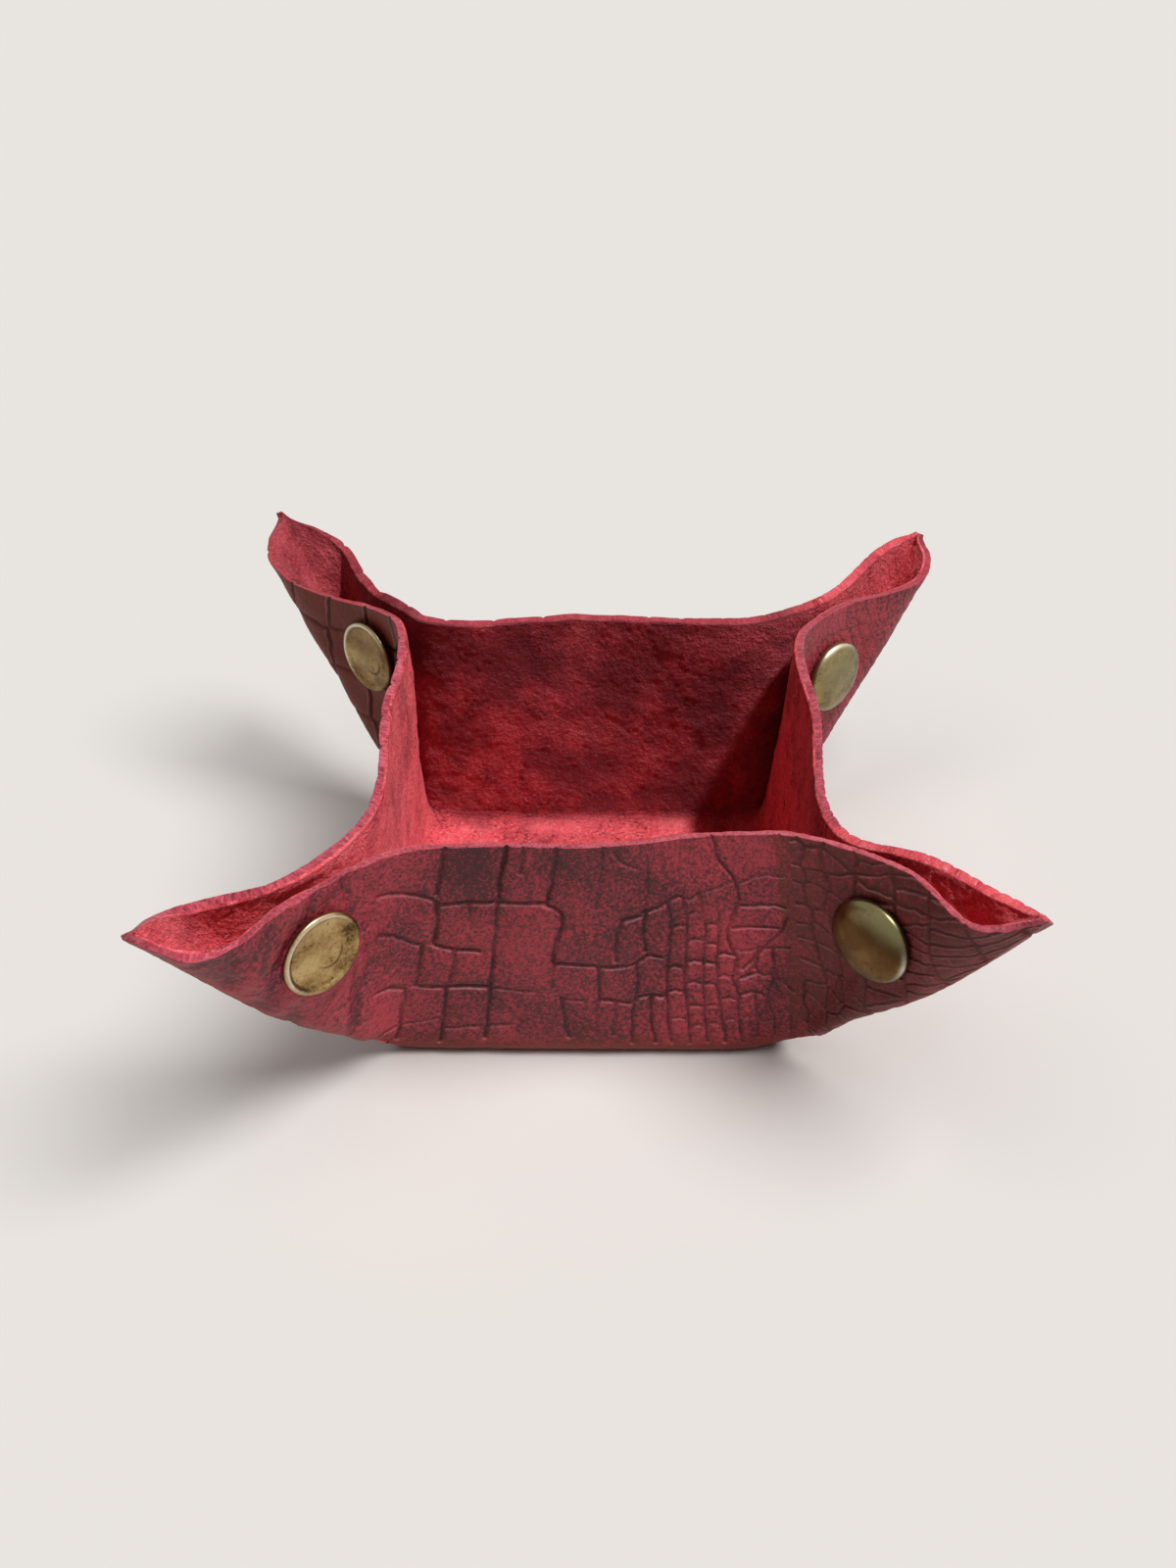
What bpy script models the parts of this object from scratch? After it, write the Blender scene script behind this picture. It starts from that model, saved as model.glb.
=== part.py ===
# Leather snap-corner tray: one square sheet of embossed leather with its four corners
# pinched into boat-shaped ears, each ear held by a brass press stud. The sheet is parted at
# its fold lines into a floor, four walls and eight ear layers, so that it can open flat.
# Metres, +Z up, the tray standing on Z = 0 with its centre on the Z axis, front towards -Y.

import math

import bmesh
import bpy
import numpy as np
from mathutils import Matrix, Vector

# Sheet
leather_thickness = 0.0019
base_half_width = 0.0358
base_half_depth = 0.0350
wall_height = 0.0496
joint_gap = 0.0003
floor_edge_round = 0.0004

# Ears
pinch_gap = 0.0025
crease_setback = 0.0006
apex_notch = 0.0052

# Press studs: each sits on the two leather layers of an ear
snap_gap = 0.0032
hole_radius = 0.0022
cap_radius = 0.0075
cap_height = 0.0031
cap_skirt = 0.0008
cap_edge_round = 0.0003
post_radius = 0.0018
seat_margin = 0.0010
seat_fade = 0.0030
seat_start_share = 0.12
socket_radius = 0.0058
socket_plate = 0.0004
socket_clearance = 0.0006
stud_flange_radius = 0.0052
stud_flange = 0.0005
knob_radius = 0.0027
knob_wall = 0.0005
knob_waist = 0.00025
knob_round = 0.0005
disc_radius = 0.0074
disc_rim_height = 0.0013
disc_rim_width = 0.0011
disc_rim_slope = 0.0007
disc_dish_depth = 0.0005
disc_thickness = 0.0006

# Fineness of the meshes
path_steps = 24
wall_columns = 14
wall_rows = 7
ear_rows = 14
ear_columns = 11
turn_steps = 20
dome_steps = 7
bevel_steps = 2
merge_distance = 0.00001
sharp_angle = math.radians(40)

# Shape of each corner, as shares of the wall height. Reach runs outwards along the corner's
# diagonal from the base corner, shift runs across it towards the front or back wall, and
# height is above the ground. The snap lies in the plane through base corner, pinch and tip.
# The bulge is how far the crease bows out below the straight line from base corner to tip.
corner_shares = {
    "front_left": {"tip": (0.920, 0.000, 1.080), "pinch": (0.403, 0.089, 1.023), "snap": (0.64, 0.096),
                   "bulge": 0.034},
    "front_right": {"tip": (0.835, 0.000, 1.120), "pinch": (0.343, -0.056, 1.030), "snap": (0.61, 0.098),
                    "bulge": 0.004},
    "back_left": {"tip": (0.911, 0.036, 1.130), "pinch": (0.181, -0.034, 1.003), "snap": (0.73, 0.047),
                  "bulge": 0.004},
    "back_right": {"tip": (0.921, 0.000, 1.056), "pinch": (0.252, -0.070, 1.010), "snap": (0.62, 0.067),
                   "bulge": 0.056},
}

# Shape of each ear layer, as shares of the wall height: the mouth's reach, spread away from
# the diagonal and height, then the place where the wall's rim turns into the ear, as the
# distance past the base corner, the lean outwards and the height.
layer_shares = {
    ("front", "front_left"): {"mouth": (0.770, 0.141, 1.004), "turn": (-0.085, 0.109, 0.990)},
    ("front", "front_right"): {"mouth": (0.700, 0.046, 1.090), "turn": (-0.075, 0.020, 1.002)},
    ("left", "front_left"): {"mouth": (0.726, 0.091, 1.006), "turn": (-0.034, 0.050, 0.990)},
    ("left", "back_left"): {"mouth": (0.754, 0.131, 1.032), "turn": (-0.048, 0.083, 1.024)},
    ("back", "back_left"): {"mouth": (0.700, 0.153, 1.034), "turn": (-0.010, -0.006, 1.010)},
    ("back", "back_right"): {"mouth": (0.690, 0.010, 1.060), "turn": (-0.070, -0.010, 1.014)},
    ("right", "front_right"): {"mouth": (0.760, 0.163, 0.986), "turn": (0.015, 0.125, 0.980)},
    ("right", "back_right"): {"mouth": (0.718, 0.180, 1.006), "turn": (-0.085, 0.105, 1.012)},
}

# Lean outwards and height of each rim at its middle, as shares of the wall height
middle_shares = {"front": (0.083, 1.000), "left": (0.032, 1.016), "back": (0.008, 1.004),
                 "right": (0.070, 1.006)}

# Each wall: its outward direction and the direction from its first corner to its second.
# Seen from outside, the first corner is on the wall's left, where the dished disc shows, and
# the second on its right, where the domed cap shows.
to_right = Vector((1, 0, 0))
to_back = Vector((0, 1, 0))
walls = {
    "front": {"out": -to_back, "along": to_right, "corners": ("front_left", "front_right")},
    "right": {"out": to_right, "along": to_back, "corners": ("front_right", "back_right")},
    "back": {"out": to_back, "along": -to_right, "corners": ("back_right", "back_left")},
    "left": {"out": -to_right, "along": -to_back, "corners": ("back_left", "front_left")},
}
corner_signs = {"front_left": (-1, -1), "front_right": (1, -1), "back_left": (-1, 1), "back_right": (1, 1)}

half_thickness = leather_thickness / 2
edge_setback = half_thickness + joint_gap
crease_offset = half_thickness + joint_gap / 2
pinch_offset = (leather_thickness + pinch_gap) / 2
seat_offset = (leather_thickness + snap_gap) / 2
button_radius = max(cap_radius, disc_radius)
corner_clearance = crease_offset * math.sqrt(0.5)


# Colours
def make_material(name, colour, roughness, metallic):
    material = bpy.data.materials.new(name)
    material.use_nodes = True
    shader = material.node_tree.nodes["Principled BSDF"]
    shader.inputs["Base Color"].default_value = (*colour, 1.0)
    shader.inputs["Roughness"].default_value = roughness
    shader.inputs["Metallic"].default_value = metallic
    return material


# Places on the sheet
def base_corner(corner):
    sign_x, sign_y = corner_signs[corner]
    return Vector((sign_x * base_half_width, sign_y * base_half_depth, half_thickness))


def diagonal(corner):
    return Vector((*corner_signs[corner], 0)).normalized()


def across(wall, corner):
    # Unit vector square to the corner's diagonal, towards the given wall
    reach = diagonal(corner)
    out = walls[wall]["out"]
    return (out - reach * out.dot(reach)).normalized()


def corner_point(corner, reach, shift_wall, shift, height):
    ground = base_corner(corner)
    ground.z = 0
    ground += diagonal(corner) * reach * wall_height
    ground += across(shift_wall, corner) * shift * wall_height
    return ground + Vector((0, 0, height * wall_height))


def shift_wall_of(corner):
    return "front" if corner.startswith("front") else "back"


def tip_point(corner):
    reach, shift, height = corner_shares[corner]["tip"]
    return corner_point(corner, reach, shift_wall_of(corner), shift, height)


def pinch_point(corner):
    reach, shift, height = corner_shares[corner]["pinch"]
    return corner_point(corner, reach, shift_wall_of(corner), shift, height)


def half_length(wall):
    return base_half_width if walls[wall]["along"].x else base_half_depth


def fold_point(wall, along):
    out = walls[wall]["out"]
    depth = base_half_depth if out.y else base_half_width
    return out * depth + walls[wall]["along"] * along + Vector((0, 0, half_thickness))


def side_of(wall, corner):
    # -1 at the wall's first corner and +1 at its second
    return -1 if walls[wall]["corners"][0] == corner else 1


def smooth_path(points):
    # Cubic Hermite curve through the points, with chord-weighted tangents
    points = np.array([tuple(point) for point in points])
    spans = np.linalg.norm(np.diff(points, axis=0), axis=1)[:, None]
    slopes = np.diff(points, axis=0) / spans
    tangents = np.empty_like(points)
    tangents[1:-1] = (slopes[:-1] * spans[1:] + slopes[1:] * spans[:-1]) / (spans[1:] + spans[:-1])
    tangents[0] = (3 * slopes[0] - tangents[1]) / 2
    tangents[-1] = (3 * slopes[-1] - tangents[-2]) / 2
    path = []
    for i, span in enumerate(spans):
        for k in range(path_steps):
            s = k / path_steps
            path.append((2 * s**3 - 3 * s**2 + 1) * points[i] + (s**3 - 2 * s**2 + s) * span * tangents[i]
                        + (3 * s**2 - 2 * s**3) * points[i + 1] + (s**3 - s**2) * span * tangents[i + 1])
    path.append(points[-1])
    return np.array(path)


def rim_path(wall):
    # Rim of a wall from tip to tip: mouth, pinch, turn, middle, turn, pinch, mouth
    ends = []
    for corner in walls[wall]["corners"]:
        side = side_of(wall, corner)
        own = across(wall, corner)
        shares = layer_shares[wall, corner]
        past, lean, height = shares["turn"]
        turn = fold_point(wall, side * (half_length(wall) + past * wall_height))
        turn += walls[wall]["out"] * lean * wall_height
        turn.z = height * wall_height
        reach, spread, mouth_height = shares["mouth"]
        mouth = corner_point(corner, reach, wall, spread, mouth_height)
        ends.append([tip_point(corner) + own * crease_offset, mouth,
                     pinch_point(corner) + own * pinch_offset, turn])
    lean, height = middle_shares[wall]
    middle = fold_point(wall, 0) + walls[wall]["out"] * lean * wall_height
    middle.z = height * wall_height
    return smooth_path(ends[0] + [middle] + ends[1][::-1])


rims = {wall: rim_path(wall) for wall in walls}


def rim_point(wall, along):
    # Rim place above a distance along the sheet from the wall's middle; past the base
    # corners the distance runs on along the ear, as far as the wall height
    path = rims[wall]
    run = np.concatenate(([0], np.cumsum(np.linalg.norm(np.diff(path, axis=0), axis=1))))
    half = half_length(wall)
    flat = (-half - wall_height, -half, half, half + wall_height)
    place = np.interp(along, flat, (0, wall_height, run[-1] - wall_height, run[-1]))
    return Vector([np.interp(place, run, path[:, axis]) for axis in range(len(path[0]))])


def wall_surface(wall, along, share):
    foot = fold_point(wall, along)
    return foot + (rim_point(wall, along) - foot) * share


def snap_place(corner):
    # Middle of the gap between the two layers, and the snap's axis, which lies level and
    # square to the diagonal and points towards the front or back
    corner_at = base_corner(corner)
    to_pinch = pinch_point(corner) - corner_at
    to_tip = tip_point(corner) - corner_at
    rise_share, reach_share = corner_shares[corner]["snap"]
    return corner_at + to_pinch * rise_share + to_tip * reach_share, across(shift_wall_of(corner), corner)


def layer_axis(wall, corner):
    # The snap's axis pointing out through the given wall's layer
    axis = snap_place(corner)[1]
    return axis if wall == shift_wall_of(corner) else -axis


def smooth_share(value):
    value = min(max(value, 0), 1)
    return value * value * (3 - 2 * value)


def ear_surface(wall, corner, turn_share, share):
    # turn_share runs from the wall's side edge to the crease, share from base corner to rim
    side = side_of(wall, corner)
    own = across(wall, corner)
    apex = base_corner(corner) + own * crease_offset
    rim = rim_point(wall, side * (half_length(wall) + turn_share * wall_height))
    ray = rim - apex
    point = apex + ray * share
    below = ray.cross(own).normalized()
    if below.z > 0:
        below = -below
    bulge = corner_shares[corner]["bulge"] * wall_height
    point += below * bulge * turn_share**2 * math.sin(math.pi * share)
    centre = snap_place(corner)[0]
    axis = layer_axis(wall, corner)
    offset = point - centre
    height = offset.dot(axis)
    radius = (offset - axis * height).length
    flatness = 1 - smooth_share((radius - button_radius - seat_margin) / seat_fade)
    flatness *= smooth_share(turn_share / seat_start_share)
    return point + axis * (seat_offset - height) * flatness


# Leather panels
def grid_normals(grid, outward):
    points = np.array([[tuple(point) for point in row] for row in grid])
    normals = np.cross(np.gradient(points, axis=0), np.gradient(points, axis=1))
    normals /= np.linalg.norm(normals, axis=2, keepdims=True)
    middle = normals[len(grid) // 2, len(grid[0]) // 2]
    if np.dot(middle, outward) < 0:
        normals = -normals
    return points, normals


def leather_panel(name, grid, outward, origin, material):
    # A closed sheet lofted along a grid of its middle surface. Its first row is a half
    # round on the fold line, which turns against the neighbour's flat edge.
    points, normals = grid_normals(grid, outward)
    rows, columns = points.shape[:2]
    edge_way = points[0] - points[1]
    edge_way -= normals[0] * np.sum(edge_way * normals[0], axis=1, keepdims=True)
    edge_way /= np.linalg.norm(edge_way, axis=1, keepdims=True)
    strips = [points[i] + normals[i] * half_thickness for i in range(rows - 1, -1, -1)]
    for angle in (math.pi / 4, math.pi / 2, 3 * math.pi / 4):
        around = normals[0] * math.cos(angle) + edge_way * math.sin(angle)
        strips.append(points[0] + around * half_thickness)
    strips += [points[i] - normals[i] * half_thickness for i in range(rows)]
    mesh = bpy.data.meshes.new(name)
    shell = bmesh.new()
    verts = [[shell.verts.new(Vector(point) - origin) for point in strip] for strip in strips]
    last = len(strips) - 1
    for i in range(last):
        for j in range(columns - 1):
            shell.faces.new((verts[i][j], verts[i][j + 1], verts[i + 1][j + 1], verts[i + 1][j]))
    for j in range(columns - 1):
        shell.faces.new((verts[last][j], verts[last][j + 1], verts[0][j + 1], verts[0][j]))
    for j in (0, columns - 1):
        for i in range(last // 2):
            ring = [verts[i][j], verts[i + 1][j], verts[last - i - 1][j], verts[last - i][j]]
            shell.faces.new(list(dict.fromkeys(ring)))
    bmesh.ops.recalc_face_normals(shell, faces=shell.faces)
    shell.to_mesh(mesh)
    shell.free()
    mesh.shade_smooth()
    mesh.set_sharp_from_angle(angle=sharp_angle)
    mesh.materials.append(material)
    panel = bpy.data.objects.new(name, mesh)
    panel.location = origin
    parts.objects.link(panel)
    return panel


def make_wall(wall):
    grid = []
    for i in range(wall_rows + 1):
        share = i / wall_rows
        reach = half_length(wall) - edge_setback - corner_clearance * (1 - share)
        grid.append([wall_surface(wall, reach * (2 * j / wall_columns - 1), share)
                     for j in range(wall_columns + 1)])
    panel = leather_panel(wall + "_wall", grid, walls[wall]["out"], fold_point(wall, 0), leather)
    hang(panel, hinges[wall])


def make_ear_layer(wall, corner):
    name = wall + "_wall_ear_" + corner
    start_share = apex_notch / wall_height
    grid = []
    for i in range(ear_rows + 1):
        row = []
        for j in range(ear_columns + 1):
            share = start_share + (1 - start_share) * j / ear_columns
            end_share = 1 - crease_setback / (share * wall_height * math.sqrt(0.5))
            row.append(ear_surface(wall, corner, end_share * i / ear_rows, share))
        grid.append(row)
    panel = leather_panel(name, grid, across(wall, corner), base_corner(corner), leather)
    centre, _ = snap_place(corner)
    axis = layer_axis(wall, corner)
    bpy.ops.mesh.primitive_cylinder_add(radius=hole_radius, depth=leather_thickness + snap_gap,
                                        vertices=turn_steps)
    cutter = bpy.context.object
    cutter.name = name + "_hole"
    cutter.matrix_world = Matrix.Translation(centre + axis * seat_offset) @ axis_turn(axis)
    move_to(cutter, cutters)
    cutter.hide_render = True
    cutter.display_type = "WIRE"
    hole = panel.modifiers.new("rivet hole", "BOOLEAN")
    hole.operation = "DIFFERENCE"
    hole.solver = "EXACT"
    hole.object = cutter
    hang(panel, hinges[wall, corner])


# Turned brass
def turned(name, outline, wall, corner):
    # Outline of (radius, height) points, closed on itself or on the axis. Heights are
    # measured outwards from the leather's outer face.
    mesh = bpy.data.meshes.new(name)
    profile = bmesh.new()
    verts = [profile.verts.new((radius, 0, height)) for radius, height in outline]
    for first, second in zip(verts, verts[1:]):
        profile.edges.new((first, second))
    if outline[0][0] > 0:
        profile.edges.new((verts[-1], verts[0]))
    profile.to_mesh(mesh)
    profile.free()
    mesh.materials.append(brass)
    part = bpy.data.objects.new(name, mesh)
    parts.objects.link(part)
    screw = part.modifiers.new("turn", "SCREW")
    screw.steps = turn_steps
    screw.render_steps = turn_steps
    screw.use_merge_vertices = True
    screw.merge_threshold = merge_distance
    screw.use_smooth_shade = True
    centre, _ = snap_place(corner)
    axis = layer_axis(wall, corner)
    outer_face = centre + axis * (seat_offset + half_thickness)
    part.matrix_world = Matrix.Translation(outer_face) @ axis_turn(axis)
    hang(part, hinges[wall, corner])


def dome_arc(radius, low, high):
    # Quarter ellipse from the axis down to the rim
    angles = [math.pi / 2 * i / dome_steps for i in range(dome_steps)]
    return [(radius * math.sin(angle), low + (high - low) * math.cos(angle)) for angle in angles]


# Heights inside a snap, measured outwards from the outer face of the layer it sits on
gap_middle = -leather_thickness - snap_gap / 2
inner_face = -leather_thickness - joint_gap
socket_mouth = inner_face - snap_gap + 3 * joint_gap + stud_flange
post_end = inner_face - joint_gap
flange_top = inner_face - stud_flange
knob_top = 2 * gap_middle - post_end + joint_gap
rivet_top = knob_top + knob_wall + joint_gap


def make_cap(wall, corner):
    outline = dome_arc(cap_radius, cap_skirt, cap_height)
    outline += [(cap_radius, cap_skirt), (cap_radius - cap_edge_round, joint_gap),
                (post_radius, joint_gap), (post_radius, post_end), (0, post_end)]
    turned("snap_cap_" + corner, outline, wall, corner)


def make_socket(wall, corner):
    cavity_radius = knob_radius + socket_clearance
    plate = inner_face - socket_plate
    outline = [(hole_radius, inner_face), (socket_radius - cap_edge_round, inner_face),
               (socket_radius, inner_face - cap_edge_round), (socket_radius, socket_mouth + cap_edge_round),
               (socket_radius - cap_edge_round, socket_mouth), (cavity_radius, socket_mouth),
               (cavity_radius, plate), (hole_radius, plate)]
    turned("snap_socket_" + corner, outline, wall, corner)


def make_stud(wall, corner):
    bore_end = knob_top + knob_wall
    outline = [(hole_radius, inner_face), (stud_flange_radius, inner_face),
               (stud_flange_radius, flange_top), (knob_radius - knob_waist, flange_top),
               (knob_radius, (flange_top + knob_top) / 2), (knob_radius - knob_round, knob_top),
               (0, knob_top), (0, bore_end), (hole_radius, bore_end)]
    turned("snap_stud_" + corner, outline, wall, corner)


def make_disc(wall, corner):
    dish_floor = disc_rim_height - disc_dish_depth
    outline = [(0, dish_floor), (disc_radius - disc_rim_width - cap_edge_round, dish_floor),
               (disc_radius - disc_rim_slope, disc_rim_height),
               (disc_radius - cap_edge_round, disc_rim_height - cap_edge_round / 2),
               (disc_radius, disc_thickness), (disc_radius - cap_edge_round, joint_gap),
               (post_radius, joint_gap), (post_radius, rivet_top), (0, rivet_top)]
    turned("snap_disc_" + corner, outline, wall, corner)


# Placing
def axis_turn(axis):
    return axis.to_track_quat("Z", "Y").to_matrix().to_4x4()


def move_to(thing, collection):
    for old in list(thing.users_collection):
        old.objects.unlink(thing)
    collection.objects.link(thing)


def hang(thing, empty):
    bpy.context.view_layer.update()
    thing.parent = empty
    thing.matrix_parent_inverse = empty.matrix_world.inverted()


def add_hinge(name, place, parent):
    empty = bpy.data.objects.new(name, None)
    empty.location = place
    parts.objects.link(empty)
    if parent:
        hang(empty, parent)
    bpy.context.view_layer.update()
    return empty


# Build
for old in list(bpy.data.objects):
    bpy.data.objects.remove(old)
parts = bpy.data.collections.new("leather_snap_tray")
cutters = bpy.data.collections.new("leather_snap_tray_cutters")
bpy.context.scene.collection.children.link(parts)
bpy.context.scene.collection.children.link(cutters)
leather = make_material("embossed leather", (0.19, 0.025, 0.035), 0.5, 0.0)
floor_leather = make_material("suede leather", (0.42, 0.03, 0.045), 0.9, 0.0)
brass = make_material("antique brass", (0.42, 0.33, 0.17), 0.38, 1.0)

hinges = {}
for wall in walls:
    hinges[wall] = add_hinge(wall + "_wall_hinge", fold_point(wall, 0), None)
    for corner in walls[wall]["corners"]:
        hinges[wall, corner] = add_hinge(wall + "_hinge_" + corner, base_corner(corner), hinges[wall])

bpy.ops.mesh.primitive_cube_add(size=1)
floor = bpy.context.object
floor.name = "floor_panel"
floor_width = 2 * (base_half_width - edge_setback)
floor_depth = 2 * (base_half_depth - edge_setback)
floor.dimensions = (floor_width, floor_depth, leather_thickness)
floor.location = (0, 0, half_thickness)
bpy.ops.object.transform_apply(location=False, rotation=False, scale=True)
rounding = floor.modifiers.new("soft edges", "BEVEL")
rounding.width = floor_edge_round
rounding.segments = bevel_steps
floor.data.materials.append(floor_leather)
move_to(floor, parts)

for wall in walls:
    make_wall(wall)
    first, second = walls[wall]["corners"]
    make_ear_layer(wall, first)
    make_ear_layer(wall, second)
    make_disc(wall, first)
    make_stud(wall, first)
    make_cap(wall, second)
    make_socket(wall, second)
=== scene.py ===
import math

import bpy
import numpy as np
from mathutils import Matrix, Vector


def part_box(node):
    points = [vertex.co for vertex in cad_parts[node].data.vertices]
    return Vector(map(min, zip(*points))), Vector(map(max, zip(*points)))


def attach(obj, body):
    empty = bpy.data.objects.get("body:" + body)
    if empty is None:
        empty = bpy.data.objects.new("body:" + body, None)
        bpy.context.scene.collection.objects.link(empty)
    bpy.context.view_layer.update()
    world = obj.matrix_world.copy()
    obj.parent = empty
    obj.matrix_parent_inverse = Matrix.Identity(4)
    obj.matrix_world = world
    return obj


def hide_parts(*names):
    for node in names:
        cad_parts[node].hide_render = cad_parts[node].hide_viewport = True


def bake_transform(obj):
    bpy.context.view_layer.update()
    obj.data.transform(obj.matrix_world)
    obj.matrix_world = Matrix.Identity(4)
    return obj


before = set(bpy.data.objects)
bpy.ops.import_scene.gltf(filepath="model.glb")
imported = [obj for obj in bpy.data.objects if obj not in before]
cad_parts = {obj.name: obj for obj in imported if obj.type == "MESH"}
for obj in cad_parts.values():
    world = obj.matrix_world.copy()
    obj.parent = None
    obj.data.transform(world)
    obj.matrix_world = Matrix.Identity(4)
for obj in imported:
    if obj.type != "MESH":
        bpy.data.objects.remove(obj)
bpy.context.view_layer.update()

mm = 0.001
floorLow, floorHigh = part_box("floor_panel")

# The hide, in metres: one square sheet, folded up into four walls and four pinched ears
hide = {
    "thickness": floorHigh.z - floorLow.z,
    "foldGap": 1.25 * mm,  # from the floor panel's edge out to the fold line
    "wallHeight": 49.6 * mm,
    "bendSoftness": 3.2 * mm,  # half of the width over which a fold is rounded
    "tanPlace": 0.5, "tanWidth": 3.2,  # mm above a fold where the grain is rubbed tan
    "meshStep": 0.34 * mm,
    "quickStep": 0.95 * mm,
}
halfThick = hide["thickness"] / 2
wallHeight = hide["wallHeight"]
baseHalfX = floorHigh.x + hide["foldGap"]
baseHalfY = floorHigh.y + hide["foldGap"]
meshStep = hide["meshStep"]

# Each corner, as shares of the wall height: reach along its diagonal, shift across it towards
# the front or back, height. The snap lies in the plane through base corner, pinch and tip.
cornerShape = {
    "front_left": {"tip": (0.920, 0.000, 1.080), "pinch": (0.403, 0.089, 1.023), "snap": (0.64, 0.096),
                   "bulge": 0.034},
    "front_right": {"tip": (0.835, 0.000, 1.120), "pinch": (0.343, -0.056, 1.030), "snap": (0.61, 0.098),
                    "bulge": 0.032},
    "back_left": {"tip": (0.911, 0.036, 1.130), "pinch": (0.181, -0.034, 1.003), "snap": (0.73, 0.047),
                  "bulge": 0.004},
    "back_right": {"tip": (0.921, 0.000, 1.056), "pinch": (0.252, -0.070, 1.010), "snap": (0.62, 0.067),
                   "bulge": 0.056},
}
# Mouth of each ear layer: reach, spread from the diagonal, height. Turn of the rim into the
# ear: past the base corner, lean outwards, height.
layerShape = {
    ("front", "front_left"): {"mouth": (0.770, 0.141, 1.004), "turn": (-0.085, 0.109, 0.990)},
    ("front", "front_right"): {"mouth": (0.700, 0.076, 1.052), "turn": (-0.075, 0.020, 1.002)},
    ("left", "front_left"): {"mouth": (0.726, 0.091, 1.006), "turn": (-0.034, 0.050, 0.990)},
    ("left", "back_left"): {"mouth": (0.754, 0.131, 1.032), "turn": (-0.048, 0.083, 1.024)},
    ("back", "back_left"): {"mouth": (0.700, 0.153, 1.034), "turn": (-0.010, -0.006, 1.010)},
    ("back", "back_right"): {"mouth": (0.690, 0.010, 1.060), "turn": (-0.070, -0.010, 1.014)},
    ("right", "front_right"): {"mouth": (0.760, 0.163, 0.986), "turn": (0.015, 0.125, 0.980)},
    ("right", "back_right"): {"mouth": (0.718, 0.180, 1.006), "turn": (-0.085, 0.105, 1.012)},
}
# Middle of each rim: lean outwards and height
middleShape = {
    "front": (0.083, 1.000), "left": (0.032, 1.016), "back": (0.008, 1.004), "right": (0.070, 1.006),
}
walls = {
    "front": {"out": (0, -1, 0), "along": (1, 0, 0), "corners": ("front_left", "front_right")},
    "right": {"out": (1, 0, 0), "along": (0, 1, 0), "corners": ("front_right", "back_right")},
    "back": {"out": (0, 1, 0), "along": (-1, 0, 0), "corners": ("back_right", "back_left")},
    "left": {"out": (-1, 0, 0), "along": (0, -1, 0), "corners": ("back_left", "front_left")},
}
for shape in walls.values():
    shape["out"] = np.array(shape["out"], float)
    shape["along"] = np.array(shape["along"], float)
cornerSigns = {"front_left": (-1, -1), "front_right": (1, -1), "back_left": (-1, 1), "back_right": (1, 1)}
ear = {
    "creaseOffset": 1.10 * mm,  # a layer's middle from the corner's diagonal plane: at its crease,
    "pinchOffset": 2.20 * mm,  # where its rim turns in,
    "seatOffset": 2.55 * mm,  # and under its stud
    "creaseRound": 1.2 * mm,
    "seatRadius": 8.5 * mm,  # the flat place that a stud sits on
    "seatFade": 3.0 * mm,
    "seatStart": 0.12,
    "pathSteps": 24,
    "notch": 0.2 * mm,
    "cornerLift": {"front_left": 0.2 * mm, "front_right": 1.5 * mm,
                   "back_left": 1.3 * mm, "back_right": 1.3 * mm},
    "liftWidth": 6.0 * mm,
    "tuck": {  # where the crease under an ear is drawn in: how far, place and width along it
        "front_left": ((0.022, 0.22, 0.15), (0.018, 0.82, 0.22)), "front_right": ((0.046, 0.27, 0.21),),
    },
    "tipReach": 7.5 * mm,
    "tipSqueeze": {"front_left": 0.60, "front_right": 0.35, "back_left": 0.78, "back_right": 0.72},
    "creaseSlip": 2.2 * mm,
    "creaseSteps": 5,
    "steepest": 1.45,  # limit of the crease's angle
    "closed": 0.5, "opening": 18,  # mm from the base corner over which the crease gets its round
    "cornerNear": 6 * mm,
    "cornerFade": 8 * mm,
    "tanReach": 4, "tanShare": 0.8,
    # Painted shade and painted light on the ear layers: how far from the base corner the painted shade grows
    # in and how dark it gets, which layers are painted darker and browner as they face away from the key
    # light, and which are painted lighter as they face it
    "paintedShadeReach": 12, "paintedShadeDepth": 2.2,
    "brownAndShade": {("left", "back_left"): 0.9, ("front", "front_right"): 0.42, ("left", "front_left"): 0.4},
    "paintedLight": {("right", "back_right"): 0.9, ("front", "front_left"): 0.3},
    "bendShare": 0.30,  # share of an ear's angle over which the hide bends out of the wall
    "holdFade": 3.0 * mm,  # width over which the hide round a stud gives way to that bend
    "holdStart": 0.12,  # share of the ear's angle in which it grows, so that the foot stays joined
}
up = np.array((0.0, 0.0, 1.0))


def smooth(value):
    value = np.clip(value, 0, 1)
    return value * value * (3 - 2 * value)


def unit(vectors):
    return vectors / np.maximum(np.linalg.norm(vectors, axis=-1, keepdims=True), 1e-12)


# The folded hide as one surface over its flat shape
def baseCorner(corner):
    signX, signY = cornerSigns[corner]
    return np.array((signX * baseHalfX, signY * baseHalfY, halfThick))


def diagonal(corner):
    return unit(np.array((*cornerSigns[corner], 0.0)))


def across(wall, corner):
    reach = diagonal(corner)
    out = walls[wall]["out"]
    return unit(out - reach * np.dot(out, reach))


def leadWall(corner):
    return "front" if corner.startswith("front") else "back"


def cornerPoint(corner, reach, wall, shift, height):
    ground = baseCorner(corner) * (1, 1, 0)
    return ground + (diagonal(corner) * reach + across(wall, corner) * shift + up * height) * wallHeight


def namedPoint(corner, name):
    reach, shift, height = cornerShape[corner][name]
    return cornerPoint(corner, reach, leadWall(corner), shift, height)


def halfLength(wall):
    return baseHalfX if walls[wall]["along"][0] else baseHalfY


def foldPoint(wall, along):
    depth = baseHalfY if walls[wall]["out"][1] else baseHalfX
    start = walls[wall]["out"] * depth + up * halfThick
    return start + np.multiply.outer(np.asarray(along, float), walls[wall]["along"])


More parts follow.
